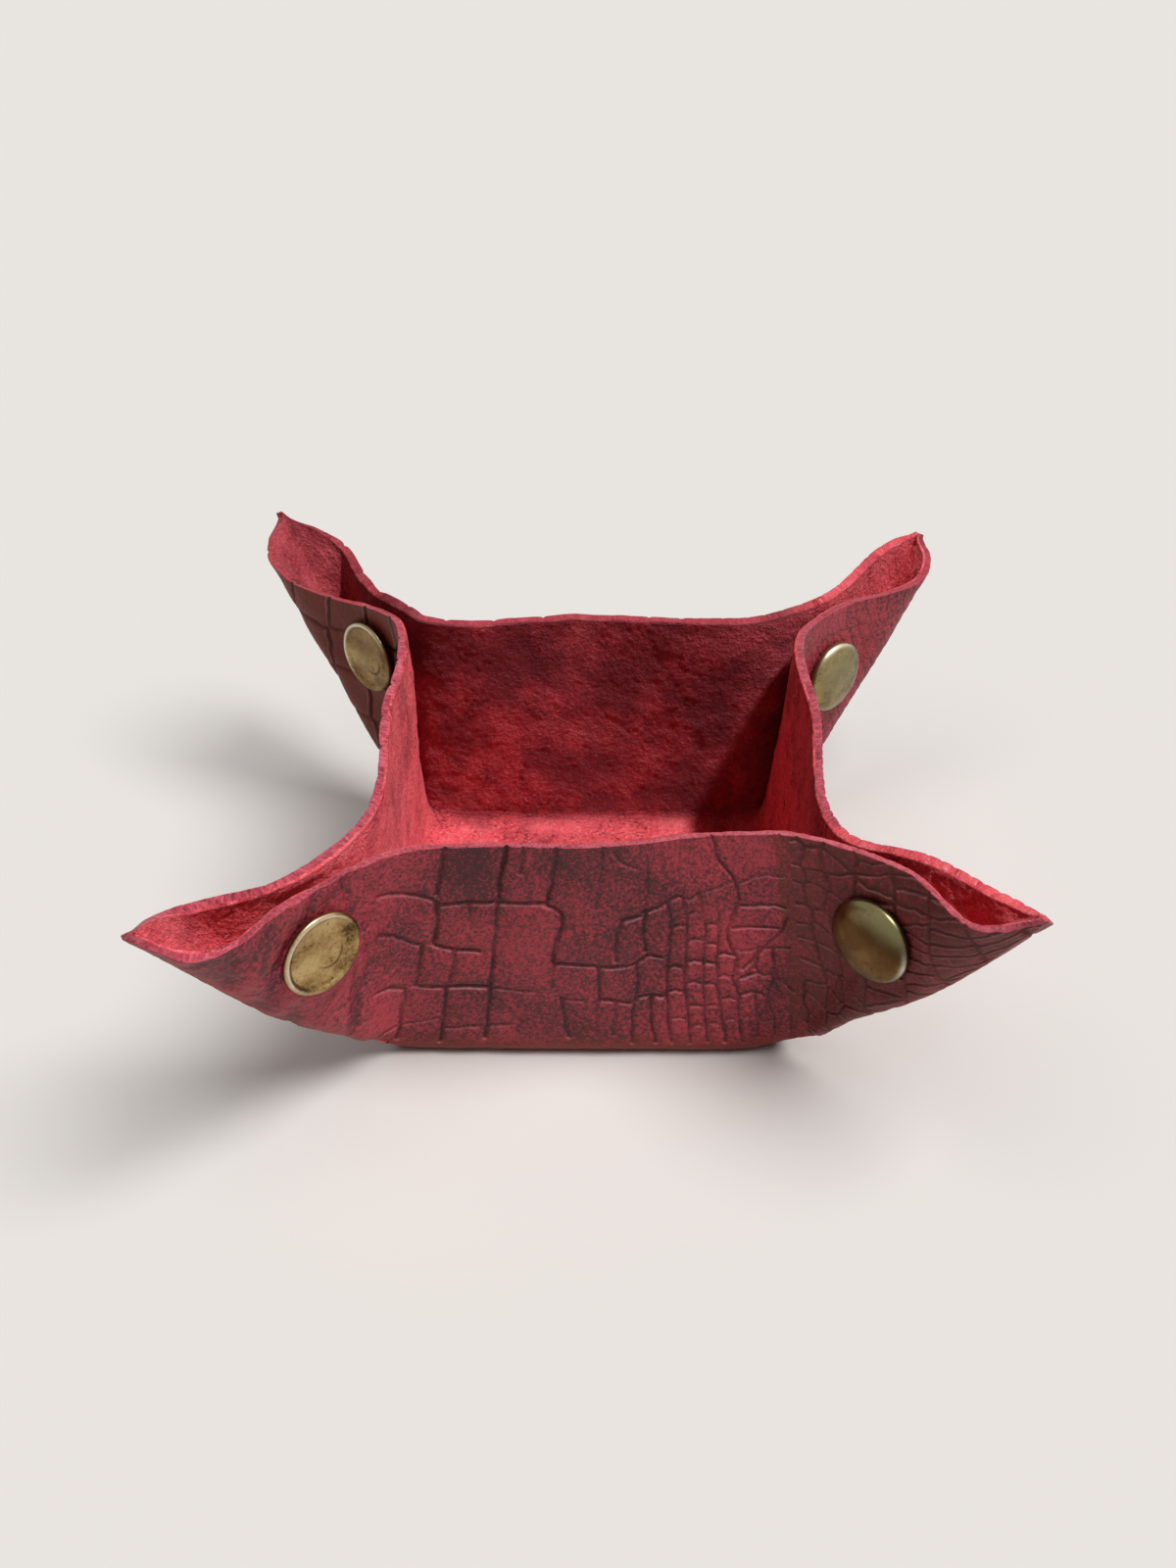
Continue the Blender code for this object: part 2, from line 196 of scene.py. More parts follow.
def sideOf(wall, corner):
    return -1 if walls[wall]["corners"][0] == corner else 1


def smoothPath(points):
    # Cubic Hermite curve through the points, with chord-weighted tangents
    points = np.array(points)
    spans = np.linalg.norm(np.diff(points, axis=0), axis=1)[:, None]
    slopes = np.diff(points, axis=0) / spans
    tangents = np.empty_like(points)
    tangents[1:-1] = (slopes[:-1] * spans[1:] + slopes[1:] * spans[:-1]) / (spans[1:] + spans[:-1])
    tangents[0] = (3 * slopes[0] - tangents[1]) / 2
    tangents[-1] = (3 * slopes[-1] - tangents[-2]) / 2
    s = (np.arange(ear["pathSteps"]) / ear["pathSteps"])[:, None]
    path = []
    for i, span in enumerate(spans):
        path.append((2 * s**3 - 3 * s**2 + 1) * points[i] + (s**3 - 2 * s**2 + s) * span * tangents[i]
                    + (3 * s**2 - 2 * s**3) * points[i + 1] + (s**3 - s**2) * span * tangents[i + 1])
    return np.concatenate(path + [points[-1:]])


def rimPath(wall):
    ends = []
    for corner in walls[wall]["corners"]:
        own = across(wall, corner)
        past, lean, height = layerShape[wall, corner]["turn"]
        turn = foldPoint(wall, sideOf(wall, corner) * (halfLength(wall) + past * wallHeight))
        turn = turn + walls[wall]["out"] * lean * wallHeight
        turn[2] = height * wallHeight
        reach, spread, mouthHeight = layerShape[wall, corner]["mouth"]
        mouth = cornerPoint(corner, reach, wall, spread, mouthHeight)
        ends.append([namedPoint(corner, "tip") + own * ear["creaseOffset"], mouth,
                     namedPoint(corner, "pinch") + own * ear["pinchOffset"], turn])
    lean, height = middleShape[wall]
    middle = foldPoint(wall, 0) + walls[wall]["out"] * lean * wallHeight
    middle[2] = height * wallHeight
    return smoothPath(ends[0] + [middle] + ends[1][::-1])


rims = {}
for wall in walls:
    path = rimPath(wall)
    run = np.concatenate(([0], np.cumsum(np.linalg.norm(np.diff(path, axis=0), axis=1))))
    rims[wall] = (path, run)


def rimPoint(wall, along):
    path, run = rims[wall]
    half = halfLength(wall)
    flat = (-half - wallHeight, -half, half, half + wallHeight)
    place = np.interp(along, flat, (0, wallHeight, run[-1] - wallHeight, run[-1]))
    return np.stack([np.interp(place, run, path[:, axis]) for axis in range(3)], -1)


def snapPlace(corner):
    start = baseCorner(corner)
    toPinch = namedPoint(corner, "pinch") - start
    toTip = namedPoint(corner, "tip") - start
    rise, reach = cornerShape[corner]["snap"]
    return start + toPinch * rise + toTip * reach, across(leadWall(corner), corner)


def layerAxis(wall, corner):
    axis = snapPlace(corner)[1]
    return axis if wall == leadWall(corner) else -axis


def wallPoint(wall, along, rise):
    foot = foldPoint(wall, along)
    return foot + (rimPoint(wall, along) - foot) * rise[:, None]


def earPoint(wall, corner, turn, rise):
    side = sideOf(wall, corner)
    own = across(wall, corner)
    apex = baseCorner(corner) + np.multiply.outer(smooth(turn) * ear["creaseOffset"], own)
    ray = rimPoint(wall, side * (halfLength(wall) + turn * wallHeight)) - apex
    point = apex + ray * rise[:, None]
    below = unit(np.cross(ray, own))
    below *= np.where(below[:, 2:] > 0, -1, 1)
    bulge = cornerShape[corner]["bulge"] * np.sin(math.pi * rise)
    for depth, place, width in ear["tuck"].get(corner, ()):
        bulge = bulge - depth * np.exp(-((rise - place) / width) ** 2) * smooth(rise / 0.06)
    point += below * (bulge * wallHeight * turn**2)[:, None]
    centre = snapPlace(corner)[0]
    axis = layerAxis(wall, corner)
    offset = point - centre
    height = offset @ axis
    radius = np.linalg.norm(offset - np.multiply.outer(height, axis), axis=1)
    flatness = 1 - smooth((radius - ear["seatRadius"]) / ear["seatFade"])
    flatness *= smooth(turn / ear["seatStart"])
    return point + np.multiply.outer((ear["seatOffset"] - height) * flatness, axis)


def sharpSheet(x, y, sideLayer):
    # Middle surface above a flat place, with unrounded folds. At a corner's diagonal the
    # place belongs to the left or right wall's layer if sideLayer is set.
    reachX = np.abs(x) - baseHalfX
    reachY = np.abs(y) - baseHalfY
    tie = -1e-5 if sideLayer else 1e-5
    toSide = reachX > reachY + tie
    point = np.stack([x, y, np.full_like(x, halfThick)], -1)
    for wall, shape in walls.items():
        lead = shape["out"][1] != 0
        outward = x * shape["out"][0] + y * shape["out"][1] > 0
        q = reachY if lead else reachX
        p = reachX if lead else reachY
        mine = outward & (q > 0) & (toSide != lead)
        along = x * shape["along"][0] + y * shape["along"][1]
        flatPart = mine & (p <= 0)
        if flatPart.any():
            point[flatPart] = wallPoint(wall, along[flatPart], q[flatPart] / wallHeight)
        for corner in shape["corners"]:
            part = mine & (p > 0) & (along * sideOf(wall, corner) > 0)
            if part.any():
                turn = np.clip(p[part] / q[part], 0, 1)
                point[part] = earPoint(wall, corner, turn, q[part] / wallHeight)
    return point


def softSheet(x, y, sideLayer):
    # The sharp sheet averaged over a small square, which rounds its folds
    shape = x.shape
    x = x.ravel()
    y = y.ravel()
    reachX = np.abs(x) - baseHalfX
    reachY = np.abs(y) - baseHalfY
    outward = np.maximum(reachX, reachY)
    gap = np.abs(reachX - reachY)
    fromCorner = np.hypot(reachX, reachY)
    near = 1 - smooth((fromCorner - ear["cornerNear"]) / ear["cornerFade"])
    soft = hide["bendSoftness"]
    size = np.minimum(soft, gap / 2)
    size = np.where(outward > 0, size + (soft - size) * near, soft)
    size = np.clip(np.minimum(size, wallHeight - outward), 0, None)
    nearFold = (np.abs(reachX) < soft) | (np.abs(reachY) < soft) | (fromCorner < 3 * soft)
    point = np.zeros((len(x), 3))
    even = (np.arange(8) + 0.5) / 4 - 1
    gauss = (np.array((-0.7745967, 0, 0.7745967)), np.array((5, 8, 5)) / 18)
    for part, (steps, weights) in ((nearFold, (even, np.full(8, 1 / 8))), (~nearFold, gauss)):
        if not part.any():
            continue
        total = np.zeros((part.sum(), 3))
        for stepX, weightX in zip(steps, weights):
            for stepY, weightY in zip(steps, weights):
                total += weightX * weightY * sharpSheet(
                    x[part] + size[part] * stepX, y[part] + size[part] * stepY, sideLayer)
        point[part] = total
    lift = np.zeros_like(x)
    for corner, (signX, signY) in cornerSigns.items():
        bump = ear["cornerLift"][corner] * np.exp(-(fromCorner / ear["liftWidth"]) ** 2)
        lift += np.where((x * signX > 0) & (y * signY > 0), bump, 0)
    point += lift[:, None] * np.stack([-0.5 * np.sign(x), -0.5 * np.sign(y), np.ones_like(x)], -1)
    return point.reshape(*shape, 3)


# Patterns over the flat hide, in millimetres
def ripple(x, y, size, seed):
    # Smooth random field from -1 to 1 with bumps about size across
    angle = 0.7 * seed
    u = (x * math.cos(angle) - y * math.sin(angle)) / size
    v = (x * math.sin(angle) + y * math.cos(angle)) / size
    cells = 64
    lattice = np.random.default_rng(seed).uniform(-1, 1, (cells, cells))
    column = np.floor(u).astype(int)
    row = np.floor(v).astype(int)
    a = smooth(u - column)
    b = smooth(v - row)
    column, row = column % cells, row % cells
    right, above = (column + 1) % cells, (row + 1) % cells
    return (lattice[column, row] * (1 - a) * (1 - b) + lattice[right, row] * a * (1 - b)
            + lattice[column, above] * (1 - a) * b + lattice[right, above] * a * b)


def ripples(x, y, waves):
    # Ripples added up, each given as its height, size and seed
    return sum(height * ripple(x, y, size, seed) for height, size, seed in waves)


# Embossed scales: patches of the plate, in mm across the hide and outwards from the front
# fold, with the scales' width and height. They shrink towards the right, as on a real skin.
embossing = {
    "patches": (
        {"across": (-92, 6), "out": (-172, 32), "size": (10.2, 9.3), "jitter": (0.07, 0.07)},
        {"across": (-92, 6), "out": (33, 56), "size": (9.8, 23), "jitter": (0.06, 0.02)},
        {"across": (7, 13), "out": (-172, 56), "size": (6.2, 8.6), "jitter": (0.08, 0.08)},
        {"across": (13.5, 23), "out": (-172, 31), "size": (3.5, 6.6), "jitter": (0.12, 0.08)},
        {"across": (14, 23), "out": (32, 56), "size": (5.0, 12), "jitter": (0.10, 0.04)},
        {"across": (24, 36), "out": (21, 37), "size": (6.6, 3.8), "jitter": (0.08, 0.12)},
        {"across": (24, 37), "out": (39, 56), "size": (6.4, 16), "jitter": (0.09, 0.03)},
        {"across": (24, 36), "out": (0, 20), "size": (2.8, 2.8), "jitter": (0.36, 0.36)},
        {"across": (24, 36), "out": (-172, -1), "size": (4.2, 4.2), "jitter": (0.28, 0.28)},
        {"across": (38, 50), "out": (20, 56), "size": (4.4, 3.8), "jitter": (0.28, 0.28)},
        {"across": (38, 50), "out": (-172, 19), "size": (3.6, 3.4), "jitter": (0.3, 0.3)},
        {"across": (51, 92), "out": (-172, 62), "size": (8.0, 2.3), "jitter": (0.04, 0.16)},
    ),
    "seed": 11,
    "toneSeed": 5,
    # Columns of scales slant, rows climb on the right ear, and both wander
    "slant": ((-60, -36, 0, 12, 40), (0.16, 0.18, 0.14, -0.20, -0.12)),
    "slantOut": (-10, 55), "slantMiddle": 25,
    "rowRise": 0.42, "rowRiseFrom": 52, "rowRiseOver": 30,
    "wander": (((0.55, 6.0, 21), (0.2, 1.6, 22)), ((0.55, 6.0, 23), (0.2, 1.6, 24))),
    "searchReach": 14, "neighbours": 6, "batch": 4000,
    # Depths and widths in mm; small scales have a share of them
    "grooveDepth": 0.54, "smallDepth": 0.45,
    "grooveWidth": 0.34, "smallWidth": 0.6,
    "pillow": 0.42, "pillowWidth": 1.5,
    "tilt": 0.10, "tiltLimit": 0.6,
    "fullScale": 9.5, "leastScale": 0.35,
    "skin": ((0.05, 2.4, 31), (0.03, 1.0, 32)),
    "sink": 0.05,
    # Painted shade beside the grooves: how dark, and how wide in mm
    "grooveEdgeShade": 0.9, "grooveEdgeShadeWidth": 0.9,
}


# The main grooves of the front wall, which show best: (mm across, mm up from the fold)
plateGrooves = {
    "deep": (
        ((-28.3, 50), (-29.8, 39.5)), ((-16.2, 50), (-17.4, 43), (-17.8, 37)),
        ((-6.6, 50), (-7.2, 44), (-8.2, 37.2)), ((10.2, 35), (9.6, 30), (9.8, 25.5)),
        ((23.4, 50), (25, 44), (27.6, 40), (28.2, 36), (26.5, 31.5), (25.2, 29), (25.6, 26), (26.8, 23)),
        ((36.6, 50), (38.2, 44), (38.8, 40), (38.2, 35), (36.6, 31), (34.2, 27.5), (30.2, 23), (27.6, 20.6)),
        ((-41, 41.2), (-38.5, 40.8), (-35, 40), (-32.5, 39.3), (-30.2, 38)),
        ((-28.6, 36.9), (-24, 37.2), (-18.2, 37.1)),
        ((-17.8, 37), (-13, 36.9), (-9.5, 37.2), (-6.8, 36.2), (-5.6, 34.6), (-5.6, 32), (-6.8, 28),
         (-7.4, 23)),
        ((-29.4, 37.6), (-29, 32), (-29.6, 27.6)), ((-17.9, 37), (-18.3, 27), (-18.8, 17), (-19.4, 4)),
        ((4.4, 23.4), (4.3, 29), (5.6, 32.8), (9.0, 33.6)),
        ((9.8, 34.4), (12, 35.2), (14, 36.2), (16.5, 37.8), (18.4, 36.8), (21, 37.8)),
        ((-40, 32.2), (-38, 31.2), (-35.5, 29.6), (-33.2, 28), (-31.6, 27.6)),
        ((-29.6, 27.6), (-27.6, 26.3), (-25, 25.8), (-21, 25.6)), ((-31.8, 27.6), (-32, 23), (-32.6, 17.8)),
        ((-7.4, 22.8), (-4, 22.6), (0, 22.3), (3.5, 21.9), (7, 22.2), (8.8, 23.4), (10.2, 24.6),
         (12.8, 23.8)),
        ((-44, 18.5), (-40, 18.6), (-37, 18.2), (-34.4, 17)), ((-32.6, 17.9), (-30, 17.1), (-26.5, 16.9)),
        ((-26.5, 16.9), (-23, 17.1), (-19.2, 16.9)), ((-34.4, 17), (-34.9, 12), (-35.6, 4)),
        ((-26.8, 16.8), (-27, 11), (-27.6, 3)), ((-5.8, 14.6), (-5.2, 9), (-4.4, 4.5)),
        ((1, 22), (1, 14)), ((1, 14), (4, 13.4), (7, 13.3), (8, 14.4), (10.5, 15), (13.4, 14.2)),
        ((7.9, 22.4), (8.1, 18), (7.6, 13.6)), ((7.2, 13.4), (7, 8), (6.8, 3)),
        ((10.6, 15), (10.6, 9), (10.8, 3)),
        ((14.5, 36.4), (14.8, 30), (14.2, 25), (13.5, 18), (13.6, 10), (13.8, 3)),
        ((17.6, 37.2), (17.7, 30), (17.2, 24), (16.9, 17), (17, 10), (17.2, 3)),
        ((20.6, 37.4), (21.2, 30), (20.6, 24), (20.1, 18), (20.1, 10), (20.4, 3)),
        ((24, 33), (23.6, 28), (23, 22), (22.8, 16), (23.1, 8), (23.4, 3)),
        ((26.8, 23), (25.6, 18.5), (26.4, 14.5), (26.2, 8), (26.6, 3)),
        ((26.4, 29.9), (29, 30.2), (32, 30), (35.6, 29.8)),
        ((27.9, 34.8), (31, 34.6), (35, 34.8), (38, 34.4)),
        ((32.2, 24.9), (35, 25.4), (38.5, 25.4), (41, 27.4), (43.5, 30)),
        ((33.6, 24.8), (33.8, 21), (33.4, 18)), ((37, 25.2), (37.6, 21), (37.2, 16), (38.4, 11)),
        ((26.6, 14.6), (29, 15.4), (31.6, 14.4), (33.4, 18)),
        ((29.4, 15.2), (29.6, 10), (29.4, 4)), ((31.6, 14.2), (32.8, 9), (32.6, 4)),
        ((39.6, 25), (39.6, 19), (39.2, 14)), ((33.5, 24.6), (33.2, 21), (34.6, 17.6), (36.8, 15.6)),
        ((30.6, 24.4), (30.2, 20.6), (31.4, 19), (33.4, 19)), ((27.2, 18.6), (29, 19.2), (30.4, 19.6)),
        ((14.8, 30.4), (16.2, 31), (17.6, 30.4)), ((13.9, 21.2), (15.4, 21.8), (17, 21)),
        ((13.7, 15.6), (15.2, 16.2), (16.9, 15.4)), ((17.8, 33.4), (19.2, 34), (20.8, 33.4)),
        ((17.6, 27.2), (19.2, 27.8), (20.8, 27)), ((17.2, 22.4), (18.8, 22.9), (20.4, 22.2)),
        ((17, 17.4), (18.5, 18), (20, 17.2)), ((17, 12), (18.6, 12.4), (20, 11.8)),
        ((21.1, 30.6), (22.4, 31), (23.6, 30.4)), ((20.7, 26.2), (22, 26.6), (23.3, 26)),
        ((20.4, 21.8), (21.6, 22.2), (22.9, 21.6)), ((20.1, 17), (21.4, 17.5), (22.8, 16.8)),
        ((20.1, 12), (21.6, 12.4), (22.9, 11.8)), ((23.2, 24), (24.8, 24.4), (26.4, 23.6)),
        ((22.9, 19), (24.2, 19.4), (25.6, 18.7)), ((22.8, 13.4), (24.6, 14), (26.3, 13.3)),
    ),
    "faint": (
        ((2.2, 50), (1.6, 42), (0.6, 36)), ((4, 48.5), (6, 46), (8.5, 44.5)), ((10.8, 44), (10.2, 35)),
        ((21, 37.8), (24, 38.6), (26.8, 39.8)), ((28.2, 39.4), (31, 40.6), (34, 41.2), (38.6, 41)),
        ((-25.4, 25.6), (-25.8, 21), (-26.6, 17)), ((-19.2, 16.8), (-15, 16.6), (-11, 16)),
        ((-7.4, 23), (-7.5, 17)), ((-27, 6.6), (-22, 7.2), (-15, 7.6)), ((3.8, 13.4), (3.6, 5)),
        ((-44, 6.5), (-36, 7.5), (-33, 8.2), (-27.2, 9.4)), ((-5.6, 14.2), (-2, 13.9)), ((0.8, 14), (0.4, 5)),
        ((30.2, 22.6), (30.6, 19.6), (33.4, 18.4)), ((33.4, 18.4), (34.4, 14), (37.2, 13)),
        ((37, 31.6), (40, 31.2), (43, 33)), ((26.4, 9.6), (29.5, 9.2)), ((29.6, 8), (32.7, 8.4)),
        ((32.8, 10.4), (36, 10), (38.6, 11.4)), ((36, 10), (36.2, 4)), ((13.7, 9), (15.2, 9.4), (17, 8.8)),
        ((17.1, 7), (18.6, 7.3), (20.2, 6.8)), ((20.2, 7.6), (21.6, 8), (23.1, 7.4)),
        ((23.2, 8.4), (26.2, 8.6)), ((26.4, 25.4), (28, 24.6), (30.4, 25), (32, 25.4)),
        ((-13, 50), (-13.6, 44)), ((-23, 36.8), (-22.6, 31)),
    ),
    "folds": (
        ((-52, 49), (-53.5, 44.5), (-56, 42), (-59.5, 40), (-61, 36), (-60.5, 30)),
        ((-61, 48), (-62.5, 43.5), (-62, 39)), ((-67, 46), (-68.5, 42), (-67, 38)),
        ((-46.8, 49), (-46.6, 42), (-46.5, 36)), ((-44.2, 24), (-44.4, 15)), ((-73, 48), (-74, 45)),
        ((-56.5, 29), (-55, 24), (-55.5, 19)),
    ),
    "faintShare": 0.55,
    "shake": (((0.22, 2.6, 27), (0.10, 0.9, 28)), ((0.22, 2.6, 29), (0.10, 0.9, 25))),
    # Soft folds on the front left ear: width, depth, how dark they are painted as painted shade, and how they
    # wander
    "foldWidth": 1.25, "foldDepth": 0.42, "foldDark": 1.3, "foldWander": ((1.2, 5.0, 35),),
    "across": (-42.5, 38.5), "up": -1,  # the part of the hide on which they stand alone
    "fade": 1.6,
    "apart": 9,  # keeps the drawn grooves and the others from meeting in the fade
    "scales": (3.2, 9.5), "shrink": 0.22, "shrinkFrom": 8,
    "tone": ((0.5, 8.0, 26),),
}


# Spots where the grain's tone is made lighter or darker: place, reach in mm, and how much. The dark spot on
# the front right ear is painted shade.
toneSpots = (
    ((-50, 24), (8, 26), 1.1), ((-37, 7), (13, 8), 1.4), ((-26, 31), (5, 5), 0.9), ((41, 7), (10, 8), 1.1),
    ((30, 28), (9, 9), 0.9), ((-24, 45), (6, 6), -0.7), ((-8, 11), (11, 8), -0.6), ((6, 30), (9, 8), -0.4),
    ((54, 30), (10, 16), -1.0), ((-66, 22), (14, 8), -1.5), ((24, 6), (14, 7), 0.5),
)


def plantSeeds():
    random = np.random.default_rng(embossing["seed"])
    seeds = []
    for patch in embossing["patches"]:
        width, height = patch["size"]
        low, high = patch["across"]
        start, end = patch["out"]
        columns = max(1, round((high - low) / width))
        rows = max(1, round((end - start) / height))
        for i in range(columns):
            for j in range(rows):
                place = np.array((low + (i + 0.5) * (high - low) / columns,
                                  start + (j + 0.5) * (end - start) / rows))
                stray = random.uniform(-1, 1, 2) * np.array(patch["jitter"]) * (width, height)
                seeds.append((*(place + stray), math.sqrt(width * height)))
    return np.array(seeds)


scaleSeeds = plantSeeds()
scaleTone = np.random.default_rng(embossing["toneSeed"]).uniform(0, 1, len(scaleSeeds))


def nearestLine(place, kinds):
    best = np.full(len(place), 1e9)
    facing = np.zeros(len(place))
    strength = np.ones(len(place))
    for kind, value in kinds:
        for line in plateGrooves[kind]:
            for start, end in zip(line, line[1:]):
                start, way = np.array(start), np.subtract(end, start)
                share = np.clip((place - start) @ way / (way @ way), 0, 1)
                toward = start + share[:, None] * way - place
                distance = np.linalg.norm(toward, axis=1)
                closer = distance < best
                best = np.where(closer, distance, best)
                facing = np.where(closer, toward[:, 1] / np.maximum(distance, 0.05), facing)
                strength = np.where(closer, value, strength)
    return best, facing, strength


def drawnGrooves(x, out):
    # Distance to the nearest drawn groove, how far that groove faces up, and its strength
    acrossShake, outShake = plateGrooves["shake"]
    place = np.stack([x + ripples(x, out, acrossShake), out + ripples(x, out, outShake)], -1)
    return nearestLine(place, (("deep", 1.0), ("faint", plateGrooves["faintShare"])))


def nearestScale(place):
    # Distance to the nearest groove between scales, how far that groove faces up, and the
    # number of the scale
    groove = np.empty(len(place))
    facing = np.empty(len(place))
    owner = np.empty(len(place), int)
    seeds = scaleSeeds[:, :2]
    reach, count, batch = (embossing[key] for key in ("searchReach", "neighbours", "batch"))
    for start in range(0, len(place), batch):
        part = place[start:start + batch]
        within = (seeds > part.min(0) - reach) & (seeds < part.max(0) + reach)
        near = np.flatnonzero(within.all(1))
        if len(near) <= count:
            near = np.arange(len(seeds))
        distance = ((part[:, None, :] - seeds[near][None]) ** 2).sum(-1)
        nearest = np.argpartition(distance, count, axis=1)[:, :count]
        order = np.argsort(np.take_along_axis(distance, nearest, 1), axis=1)
        nearest = near[np.take_along_axis(nearest, order, 1)]
        first = seeds[nearest[:, 0]]
        best = np.full(len(part), np.inf)
        face = np.zeros(len(part))
        for k in range(1, count):
            way = seeds[nearest[:, k]] - first
            length = np.linalg.norm(way, axis=1)
            edge = ((first + way / 2 - part) * way).sum(1) / length
            closer = edge < best
            best = np.where(closer, edge, best)
            face = np.where(closer, way[:, 1] / length, face)
        stop = start + len(part)
        groove[start:stop] = best
        facing[start:stop] = face
        owner[start:stop] = nearest[:, 0]
    return groove, facing, owner


def scalePattern(x, y):
    # Distance to the nearest groove, how far that groove faces up, the scale's size and tone,
    # the rise from its middle, and the groove's strength
    out = -baseHalfY / mm - y
    slant = np.interp(x, *embossing["slant"])
    slant = slant * (np.clip(out, *embossing["slantOut"]) - embossing["slantMiddle"])
    climb = np.clip(x - embossing["rowRiseFrom"], 0, embossing["rowRiseOver"])
    acrossWander, outWander = embossing["wander"]
    u = x - slant + ripples(x, y, acrossWander)
    v = out + ripples(x, y, outWander) - embossing["rowRise"] * climb
    place = np.stack([u.ravel(), v.ravel()], -1)
    groove, facing, owner = nearestScale(place)
    size = scaleSeeds[owner, 2]
    rise = (place[:, 1] - scaleSeeds[owner, 1]) / size
    tone = scaleTone[owner]
    strength = np.ones(len(place))
    flatX, flatOut = x.ravel(), out.ravel()
    low, high = plateGrooves["across"]
    fade = plateGrooves["fade"]
    plate = smooth((flatX - low) / fade) * smooth((high - flatX) / fade)
    plate *= smooth((flatOut - plateGrooves["up"]) / fade)
    part = plate > 0
    if part.any():
        drawn, drawnFacing, drawnStrength = drawnGrooves(flatX[part], flatOut[part])
        share = plate[part]
        other = groove[part] + plateGrooves["apart"] * share
        drawn = drawn + plateGrooves["apart"] * (1 - share)
        nearer = drawn < other
        groove[part] = np.where(nearer, drawn, other)
        facing[part] = np.where(nearer, drawnFacing, facing[part])
        strength[part] = np.where(nearer, drawnStrength, 1 - share)
        least, largest = plateGrooves["scales"]
        drawnSize = largest - plateGrooves["shrink"] * (flatX[part] - plateGrooves["shrinkFrom"])
        size[part] += (np.clip(drawnSize, least, largest) - size[part]) * share
        drawnTone = 0.5 + ripples(flatX[part], flatOut[part], plateGrooves["tone"])
        tone[part] += (drawnTone - tone[part]) * share
        rise[part] *= 1 - share
    return [values.reshape(x.shape) for values in (groove, facing, size, tone, rise, strength)]


# Where the embossing is worn or stretched faint, and where the pinched ears crumple it
wear = {
    "ears": (38, 8), "leftEar": 0.80, "rightEar": 0.15,
    "uneven": ((0.82, ((0.18, 11.0, 30),)), (0.78, ((0.22, 3.5, 36),))),
    "rightBack": 0.55, "rightBackFrom": (20, -5), "rightBackOver": 20,
    "crumple": 0.20, "crumpleElsewhere": 0.3, "crumpleClear": 7,
    # How much of the scales' tone the left ear keeps, and the painted shade that follows its crumples: level
    # and change
    "toneKept": 0.3, "crumpleShade": (0.45, 0.55),
    "broad": (6.0, 33), "broadAcross": (2.2, 0.8), "broadOut": 0.5,  # crumples run across the ear
    "fine": ((0.5, 3.0, 34),),
}


def grainRelief(x, y):
    # Height of the grain side, and the marks that its colour follows
    gap, facing, size, tone, rise, strength = scalePattern(x, y)
    small = np.clip(size / embossing["fullScale"], embossing["leastScale"], 1)
    out = -baseHalfY / mm - y
    start, over = wear["ears"]
    ears = smooth((np.abs(x) - start) / over) * smooth(out / over)
    leftEar = ears * (x < 0)
    fade = (1 - wear["leftEar"] * leftEar - wear["rightEar"] * ears * (x > 0)) * strength
    for level, waves in wear["uneven"]:
        fade = fade * (level + ripples(x, y, waves))
    backX, backY = wear["rightBackFrom"]
    fade = fade * (1 - wear["rightBack"] * smooth((y - backY) / wear["rightBackOver"]) * (x > backX))
    leastDepth, leastWidth = embossing["smallDepth"], embossing["smallWidth"]
    depth = embossing["grooveDepth"] * (leastDepth + (1 - leastDepth) * small) * fade
    width = embossing["grooveWidth"] * (leastWidth + (1 - leastWidth) * small)
    height = -depth * np.exp(-(gap / width) ** 2)
    height -= embossing["pillow"] * small * fade * np.exp(-gap / (embossing["pillowWidth"] * small))
    limit = embossing["tiltLimit"]
    height += embossing["tilt"] * fade * small * (np.clip(rise, -limit, limit) - limit)
    height += ripples(x, y, embossing["skin"])
    shareX, shareY = wear["broadAcross"]
    crumple = ripple(shareX * x + shareY * y, wear["broadOut"] * y, *wear["broad"])
    crumple = crumple + ripples(x, y, wear["fine"])
    toCrease = np.abs(np.abs(x) - np.abs(y) - (baseHalfX - baseHalfY) / mm)
    crumpled = (leftEar + wear["crumpleElsewhere"] * ears) * smooth(toCrease / wear["crumpleClear"])
    height += wear["crumple"] * crumple * crumpled
    # Painted shade: the left ear's tone follows its crumples, darker in their hollows
    level, change = wear["crumpleShade"]
    tone = tone * (1 - (1 - wear["toneKept"]) * leftEar) + leftEar * (level + change * crumple)
    place = np.stack([(x + ripples(x, y, plateGrooves["foldWander"])).ravel(), out.ravel()], -1)
    nearFold = nearestLine(place, (("folds", 1.0),))[0].reshape(x.shape)
    nearFold = np.exp(-(nearFold / plateGrooves["foldWidth"]) ** 2)
    height -= plateGrooves["foldDepth"] * nearFold
    # Painted shade: each scale is painted darker towards its grooves
    grooveEdgeShade = embossing["grooveEdgeShade"] * fade * np.exp(-gap / (embossing["grooveEdgeShadeWidth"] * small))
    # Painted shade in the soft folds
    tone = tone - plateGrooves["foldDark"] * nearFold - grooveEdgeShade
    for (middleX, middleOut), (reachX, reachOut), amount in toneSpots:
        tone = tone + amount * np.exp(-((x - middleX) / reachX) ** 2 - ((out - middleOut) / reachOut) ** 2)
    # facing marks where the painted highlight goes: below grooves that lie above
    pattern = {"gap": gap / (0.6 + 0.4 * small), "facing": np.clip(facing - 0.35, 0, 1) * fade,
               "depth": fade * (0.5 + 0.5 * small), "tone": tone}
    return (height - embossing["sink"]) * mm, pattern


